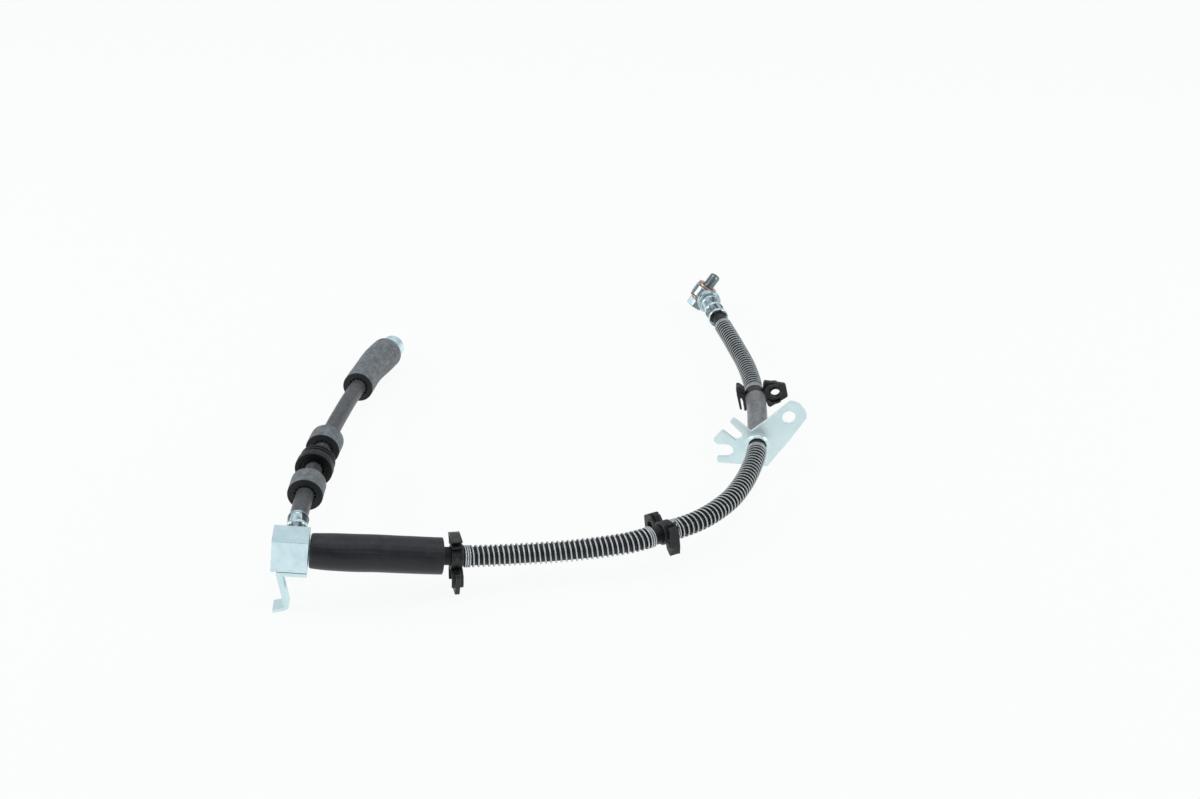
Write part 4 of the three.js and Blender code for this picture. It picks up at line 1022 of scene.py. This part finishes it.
def banjo_pieces():
    """Banjo fitting, its bolt and the two copper washers."""
    eye_axis = Shaft(EYE_FRAME)
    insert, stem, hole, half = 0.75, 4.5, 4.6, 4.55
    stalk = round_part(Shaft(MAIN.matrix(MAIN.length)), 0, [
        (insert, -12), (1.2, -12), (1.2, 2.1), (8.1, 2.1), (8.8, 2.8), (8.8, 7.4), (8.2, 8.1), (5.6, 9.4),
        (stem, 11), (stem, 17.1), (insert, 17.1)], [0.1, 0.1, 0.2, 0.3, 0.4, 0.4, 0.5, 1, 1, 0.2, 0.1], 64)
    eye = round_part(eye_axis, 0, [
        (hole, -half), (7.7, -half), (8.5, -3.8), (8.5, 3.8), (7.7, half), (hole, half)], 0.4, 64)
    make_piece("banjo_body", [stalk, eye], "banjo", "banjo_fitting")
    under, tip, threaded, across_flats = -6.45, 16.45, 9.5, 12.0
    drilled, shaft, point, rim = 1.7, 4.2, 3.2, 5.8
    shank = round_part(eye_axis, 0, [
        (drilled, under - 2), (shaft, under - 2), (shaft, tip - 1.2), (point, tip), (drilled, tip)],
        [0.1, 0.1, 0.4, 0.3, 0.2], 48, threads, 0.25, low=(tip - threaded) * MM)
    hexagon = circle_points(0, 0, across_flats / 2 / math.cos(math.pi / 6), 6)
    head = flat_part(soft_outline(hexagon, 0.5), [], under - 6.5, under - 0.4, 0.45, EYE_FRAME)
    flange = round_part(eye_axis, 0, rectangle(1.0, rim, under - 1, under), 0.2, 48)
    make_piece("bolt", [shank, head, flange], "bolt", "banjo_bolt")
    washer, thick = 8.0, 1.3
    for name, node, low in (("washer_top", "copper_washer_upper", 4.85),
                            ("washer_bottom", "copper_washer_lower", -6.15)):
        ring = round_part(eye_axis, 0, rectangle(hole, washer, low, low + thick), 0.35, 64)
        make_piece(name, [ring], "copper", node)


def fitting_pieces():
    """Ferrules in sight and the pipe fitting at the short hose's end."""
    rear = ferrule_part(LINK, -FERRULE_BACK, FERRULE_LENGTH, *REAR_FERRULE)
    make_piece("rear_crimp", [rear], "crimp", "rear_ferrule")
    back = MAIN.length / MM + FERRULE_BACK
    banjo = ferrule_part(MAIN, back, BANJO_FERRULE_LENGTH, *BANJO_FERRULE, flip=True)
    make_piece("banjo_crimp", [banjo], "crimp", "banjo_ferrule")
    body = round_part(Shaft(LINK.matrix(LINK.length)), 0, [
        (0.75, -12), (1.2, -12), (1.2, 2.1), (7.6, 2.1), (8.25, 2.8), (8.25, 19.9), (7.1, 21.1), (5.0, 21.1),
        (FITTING_BORE, 20.5), (FITTING_BORE, 8.1), (0.75, 8.1)], 0.3, 64, inner_thread, 0.3,
        low=8.5 * MM, high=20.4 * MM)
    make_piece("pipe_fitting", [body], "zinc", "end_fitting")
    for node in ("side_ferrule", "end_ferrule", "side_nipple", "rear_nipple"):
        dress(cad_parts[node].data, "zinc")


def bracket_outline():
    """Outline of the support bracket, counterclockwise, in millimetres, with the numbers of its points on
    the bend line. The lobe is an arc met by straight sides from the lower right corner and the notch."""
    centre, radius, low = LOBE_CENTRE, 11.3, BRACKET_HEIGHT
    corner, notch = np.array([7.4, -low]), np.array([-4.9, 8.9])
    turns = []
    for point, way in ((corner, -1), (notch, 1)):
        reach = centre - point
        aim = math.atan2(reach[1], reach[0])
        turns.append(aim + way * (math.pi / 2 - math.asin(radius / np.linalg.norm(reach))))
    angle = np.linspace(turns[0], turns[1] % (2 * math.pi), 56)
    arc = arc_points(*centre, radius, angle)

    def crossing(p, q):
        """Where the line from p to q meets the bend line."""
        share = (BEND_START - p) @ BEND_SIDE / ((q - p) @ BEND_SIDE)
        return p + share * (q - p)

    def slot(x, y, radius, mouth):
        """Round-ended slot, clockwise round its inner end, open towards the given angle."""
        turn = math.radians(mouth) - math.pi / 2 - np.linspace(0, math.pi, 22)
        return arc_points(x, y, radius, turn)

    rest = [
        [notch], [(-15.3, 16.8), (-16.6, 17.3), (-17.7, 16.6), (-18.7, 15), (-18.4, 13.8)],
        slot(-13.9, 4.9, 3.3, 142),
        [(-22.2, 7.3), (-23.4, 7.5), (-24.5, 6.6), (-28.3, 1.4), (-28.7, 0.1), (-28.2, -1.2), (-26.7, -2.7),
         (-25.4, -3.0)],
        slot(-19.9, -7.3, 4.5, 176),
        [(-24.8, -low + 4.6), (-25.6, -low + 3.5), (-25.5, -low + 1), (-24.6, -low)],
    ]
    right, left = crossing(corner, arc[0]), crossing(arc[-1], notch)
    points = np.concatenate([[corner, right], arc, [left]] + [np.array(part, float) for part in rest])
    return points, (1, 2 + len(arc))


def bent_back(points):
    """Points of the sheet with its lobe folded back about the line at the middle of the sheet: past the
    bend line, at a distance d over it and a height h over the middle, they go to d cos a + h sin a and
    h cos a - d sin a. Points on the line are turned half as far, which mitres the fold."""
    middle, run_in = SHEET_THICKNESS / 2, 0.4
    over = (points[:, :2] - BEND_START) @ BEND_SIDE
    height = points[:, 2] + middle
    angle = BEND_ANGLE * np.clip(over / run_in + 0.5, 0, 1)
    far = np.maximum(over, 0)
    moved = points.copy()
    moved[:, :2] += (far * (np.cos(angle) - 1) + height * np.sin(angle))[:, None] * BEND_SIDE
    moved[:, 2] = height * np.cos(angle) - far * np.sin(angle) - middle
    return moved


def bracket_piece():
    """Support bracket: a sheet with a folded lobe, a round hole and two hooked slots, and a drawn collar."""
    place = bracket_frame()
    outline, (first, last) = bracket_outline()
    count, screw_hole, hose_hole, collar_bore = len(outline), 4.3, 7.4, 5.55
    holes = [circle_points(*LOBE_CENTRE, screw_hole, 40, True), circle_points(0, 0, hose_hole, 48, True)]
    lobe, body = np.arange(first, last + 1), np.arange(last, first + 1 + count) % count
    sheet = flat_part(outline, holes, -SHEET_THICKNESS, 0.0, 0.35, place,
                      caps=[(lobe, [0]), (body, [1])], bend=bent_back)
    collar = round_part(Shaft(place), 0, [
        (collar_bore, -1.9), (7.9, -1.9), (8.9, -0.2), (7.3, 0.35), (6.5, 1.3), (6.3, 3.0),
        (collar_bore, 3.0)], [0.3, 0.1, 0.1, 1.0, 0.7, 0.3, 0.35], 64)
    make_piece("hose_bracket", [sheet, collar], "sheet", "support_bracket")


def clip_piece(name, node, place, plate_angle, lean, faces_back):
    """Clip: a band round the hose, a rimmed plate with a hole, and a hooked anchor opposite it."""
    square = MAIN.matrix(place * MM)
    frame_here = (square @ turned_matrix("X", math.radians(lean))
                  @ turned_matrix("Z", math.radians(plate_angle))
                  @ turned_matrix("X", math.pi if faces_back else 0.0))
    half, wall, hole_place = CLIP_HALF, 1.6, 14

    def slab(corners, rounding, steps, reach, edge=0.35, holes=()):
        """Flat part of the clip, from minus the reach to the reach across the plate."""
        return flat_part(soft_outline(corners, rounding, steps), holes, -reach, reach, edge, frame_here)

    hole, rim = circle_points(hole_place, 0, 3.2, 32, True), circle_points(hole_place, 0, 4.3, 32)
    parts = [
        round_part(Shaft(square), 0, rectangle(5.45, 7.05, -half, half), 0.4, 56),
        slab([(6.2, -4), (7.4, -9.4), (8.6, -10.4), (14.2, -8.2), (21.4, -5.2), (22, -4.2), (22, 4.2),
              (21.4, 5.2), (14.2, 8.2), (8.6, 10.4), (7.4, 9.4), (6.2, 4)], 1.2, 4, 1.4, holes=[hole]),
        flat_part(rim, [hole], -2.1, 2.1, 0.3, frame_here),
    ]
    line = np.array([(6.2, 3.4), (9.6, 7.6), (14.2, 7.6), (16.6, 6.8), (16.6, 6.8 - wall),
                     (13.8, 7.6 - wall), (10.3, 7.6 - wall), (7.0, 2.4)])
    parts += [
        slab(line[::-1], 0.4, 2, half),
        slab(line * [1, -1], 0.4, 2, half),
        slab(rectangle(6.2, 7.6, -2.9, 2.9), 0.3, 2, half),
        slab([(-8, -8.2), (-8.9, -7.7), (-8.3, -1.2), (-9.2, 2.6), (-10.4, 2.2), (-10.8, -6.6), (-11.6, -6.2),
              (-11.7, 6), (-10.5, 11.2), (-8.9, 10.7), (-6.3, 7.4), (-6.3, 4.4), (-6.9, 0.2), (-6.1, -3.6)],
             0.5, 3, 3.0, 0.3),
        slab([(-10.4, 6.2), (-6.5, 5.0), (-6.5, 3.4), (-10.2, 3.2)], 0.4, 2, half, 0.3),
    ]
    make_piece(name, parts, "plastic", node)


# Operators


class BRAKE_HOSE_OT_camera(bpy.types.Operator):
    """Add the camera at the photograph's viewing angle."""

    bl_idname = "brake_hose.camera"
    bl_label = "Camera"

    def execute(self, context):
        """The camera looks down by the fall angle and is rolled a little about its own axis."""
        right = np.array([1.0, 0.0, 0.0])
        forward = np.array([0.0, math.cos(CAMERA_FALL), -math.sin(CAMERA_FALL)])
        upward = np.array([0.0, math.sin(CAMERA_FALL), math.cos(CAMERA_FALL)])
        rolled_right = right * math.cos(CAMERA_ROLL) - upward * math.sin(CAMERA_ROLL)
        rolled_up = right * math.sin(CAMERA_ROLL) + upward * math.cos(CAMERA_ROLL)
        data = bpy.data.cameras.new("Camera")
        data.lens = CAMERA_LENS
        data.sensor_width = CAMERA_SENSOR
        data.clip_start = 0.01
        data.clip_end = 50.0
        camera = add_object("Camera", data)
        place = frame_matrix(rolled_right, rolled_up, -forward, CAMERA_PLACE)
        camera.matrix_world = Matrix(place.tolist())
        context.scene.camera = camera
        return {"FINISHED"}


class BRAKE_HOSE_OT_hoses(bpy.types.Operator):
    """Add the long and the short rubber hose."""

    bl_idname = "brake_hose.hoses"
    bl_label = "Hoses"

    def execute(self, context):
        """Each hose is one tube along its whole route."""
        hose_piece("long_hose", MAIN, "hose", "main_hose")
        hose_piece("short_hose", LINK, "short hose", "link_hose")
        return {"FINISHED"}


class BRAKE_HOSE_OT_springs(bpy.types.Operator):
    """Add the three spring guards."""

    bl_idname = "brake_hose.springs"
    bl_label = "Spring guards"

    def execute(self, context):
        """Each spring fills the stretch between its neighbours on the hose."""
        wire = sizes().wire / 2
        radius = sizes().hose / 2 + wire + SPRING_PLAY
        mouth = MAIN.length / MM + FERRULE_BACK - BANJO_FERRULE_LENGTH
        places = [value[0] for value in CLIP_PLACES.values()]
        ends = (places[1] - CLIP_HALF - SPRING_REST, BRACKET_PLACE - SPRING_CLEAR, mouth - SPRING_TAIL)
        for number, (place, end, pitch) in enumerate(zip(places, ends, SPRING_PITCHES), 1):
            part = coil_part(MAIN, place + CLIP_HALF + SPRING_GAP, end, pitch, radius, wire)
            make_piece(f"spring_guard_{number}", [part], "spring", f"spring_{number}", 60.0)
        return {"FINISHED"}


class BRAKE_HOSE_OT_sleeves(bpy.types.Operator):
    """Add the rubber sleeves and bushes."""

    bl_idname = "brake_hose.sleeves"
    bl_label = "Sleeves and bushes"

    def execute(self, context):
        """Moulded rubber pieces of both hoses."""
        guard_sleeve_piece()
        bracket_sleeve_piece()
        end_sleeve_piece()
        bush_pieces()
        return {"FINISHED"}


class BRAKE_HOSE_OT_clips(bpy.types.Operator):
    """Add the three plastic clips."""

    bl_idname = "brake_hose.clips"
    bl_label = "Clips"

    def execute(self, context):
        """The same clip three times, each turned its own way."""
        for number, (node, settings) in enumerate(CLIP_PLACES.items(), 1):
            clip_piece(f"hose_clip_{number}", node, *settings)
        return {"FINISHED"}


class BRAKE_HOSE_OT_metal(bpy.types.Operator):
    """Add the block, the brackets and the fittings."""

    bl_idname = "brake_hose.metal"
    bl_label = "Metal pieces"

    def execute(self, context):
        """Plated steel pieces, with the bolt and the copper washers."""
        block_piece()
        leg_bracket_piece()
        bracket_piece()
        fitting_pieces()
        banjo_pieces()
        return {"FINISHED"}


class BRAKE_HOSE_OT_declare(bpy.types.Operator):
    bl_idname = "brake_hose.declare"
    bl_label = "Declare hoses"

    def execute(self, context):
        """Samples points along each hose's route; nothing is done with them."""
        long_on = ["guard_sleeve_skin", "hose_clip_1", "hose_clip_2", "hose_clip_3", "spring_guard_1",
                   "spring_guard_2", "spring_guard_3", "bracket_sleeve_skin", "hose_bracket", "banjo_crimp",
                   "banjo_body", "bolt", "washer_top", "washer_bottom"]
        short_on = ["rear_crimp", "front_bush", "grommet", "rear_bush", "end_sleeve_skin", "pipe_fitting"]
        for piece, route, on in (("long_hose", MAIN, long_on), ("short_hose", LINK, short_on)):
            path = route.at(np.linspace(0, route.length, int(route.length / 0.003)))[0]
        return {"FINISHED"}


class BRAKE_HOSE_OT_stage(bpy.types.Operator):
    """Add the floor, the lamps and the world."""

    bl_idname = "brake_hose.stage"
    bl_label = "Stage"

    def execute(self, context):
        """A very wide pale floor, a soft lamp on each side, a weak one above and a weak panel behind."""
        mesh = bpy.data.meshes.new("floor")
        half = FLOOR_HALF
        corners = [(-half, -half, 0), (half, -half, 0), (half, half, 0), (-half, half, 0)]
        mesh.from_pydata(corners, [], [(0, 1, 2, 3)])
        mesh.materials.append(floor_material())
        floor = add_object("floor", mesh)
        for name, place, aim, size, power in LAMPS:
            data = bpy.data.lights.new(name, "AREA")
            data.shape = "RECTANGLE"
            data.size, data.size_y = size
            data.energy = power
            turn = (Vector(aim) - Vector(place)).to_track_quat("-Z", "Y").to_matrix().to_4x4()
            add_object(name, data).matrix_world = Matrix.Translation(place) @ turn
        world = bpy.data.worlds.new("Studio")
        world.use_nodes = True
        context.scene.world = world
        background = world.node_tree.nodes["Background"]
        background.inputs["Color"].default_value = WORLD_COLOUR
        background.inputs["Strength"].default_value = WORLD_STRENGTH
        context.scene.view_settings.view_transform = "Standard"
        return {"FINISHED"}


class BRAKE_HOSE_PT_panel(bpy.types.Panel):
    """Lists the pieces of the brake hose."""

    bl_idname = "BRAKE_HOSE_PT_panel"
    bl_label = "Brake hose"
    bl_space_type = "VIEW_3D"
    bl_region_type = "UI"
    bl_category = "Brake hose"

    def draw(self, context):
        """Sizes and colours, then one button for each group of pieces."""
        for group in (sizes(), colours()):
            box = self.layout.box()
            for key in group.bl_rna.properties.keys():
                if key not in ("rna_type", "name"):
                    box.prop(group, key)
        for operator in OPERATORS:
            self.layout.operator(operator.bl_idname)


OPERATORS = (
    BRAKE_HOSE_OT_camera,
    BRAKE_HOSE_OT_hoses,
    BRAKE_HOSE_OT_springs,
    BRAKE_HOSE_OT_sleeves,
    BRAKE_HOSE_OT_clips,
    BRAKE_HOSE_OT_metal,
    BRAKE_HOSE_OT_declare,
    BRAKE_HOSE_OT_stage,
)
CLASSES = (BrakeHoseSizes, BrakeHoseColours) + OPERATORS + (BRAKE_HOSE_PT_panel,)


def register():
    """Registers the classes and their settings."""
    for cls in CLASSES:
        bpy.utils.register_class(cls)
    bpy.types.Scene.brake_hose_sizes = PointerProperty(type=BrakeHoseSizes)
    bpy.types.Scene.brake_hose_colours = PointerProperty(type=BrakeHoseColours)


def unregister():
    """Removes the settings and the classes."""
    del bpy.types.Scene.brake_hose_sizes
    del bpy.types.Scene.brake_hose_colours
    for cls in reversed(CLASSES):
        bpy.utils.unregister_class(cls)


def main():
    """Builds every group of pieces in order."""
    register()
    for operator in OPERATORS:
        group, name = operator.bl_idname.split(".")
        result = getattr(getattr(bpy.ops, group), name)()
        if result != {"FINISHED"}:
            raise RuntimeError(f"{operator.bl_idname} did not finish")


if __name__ == "__main__":
    main()
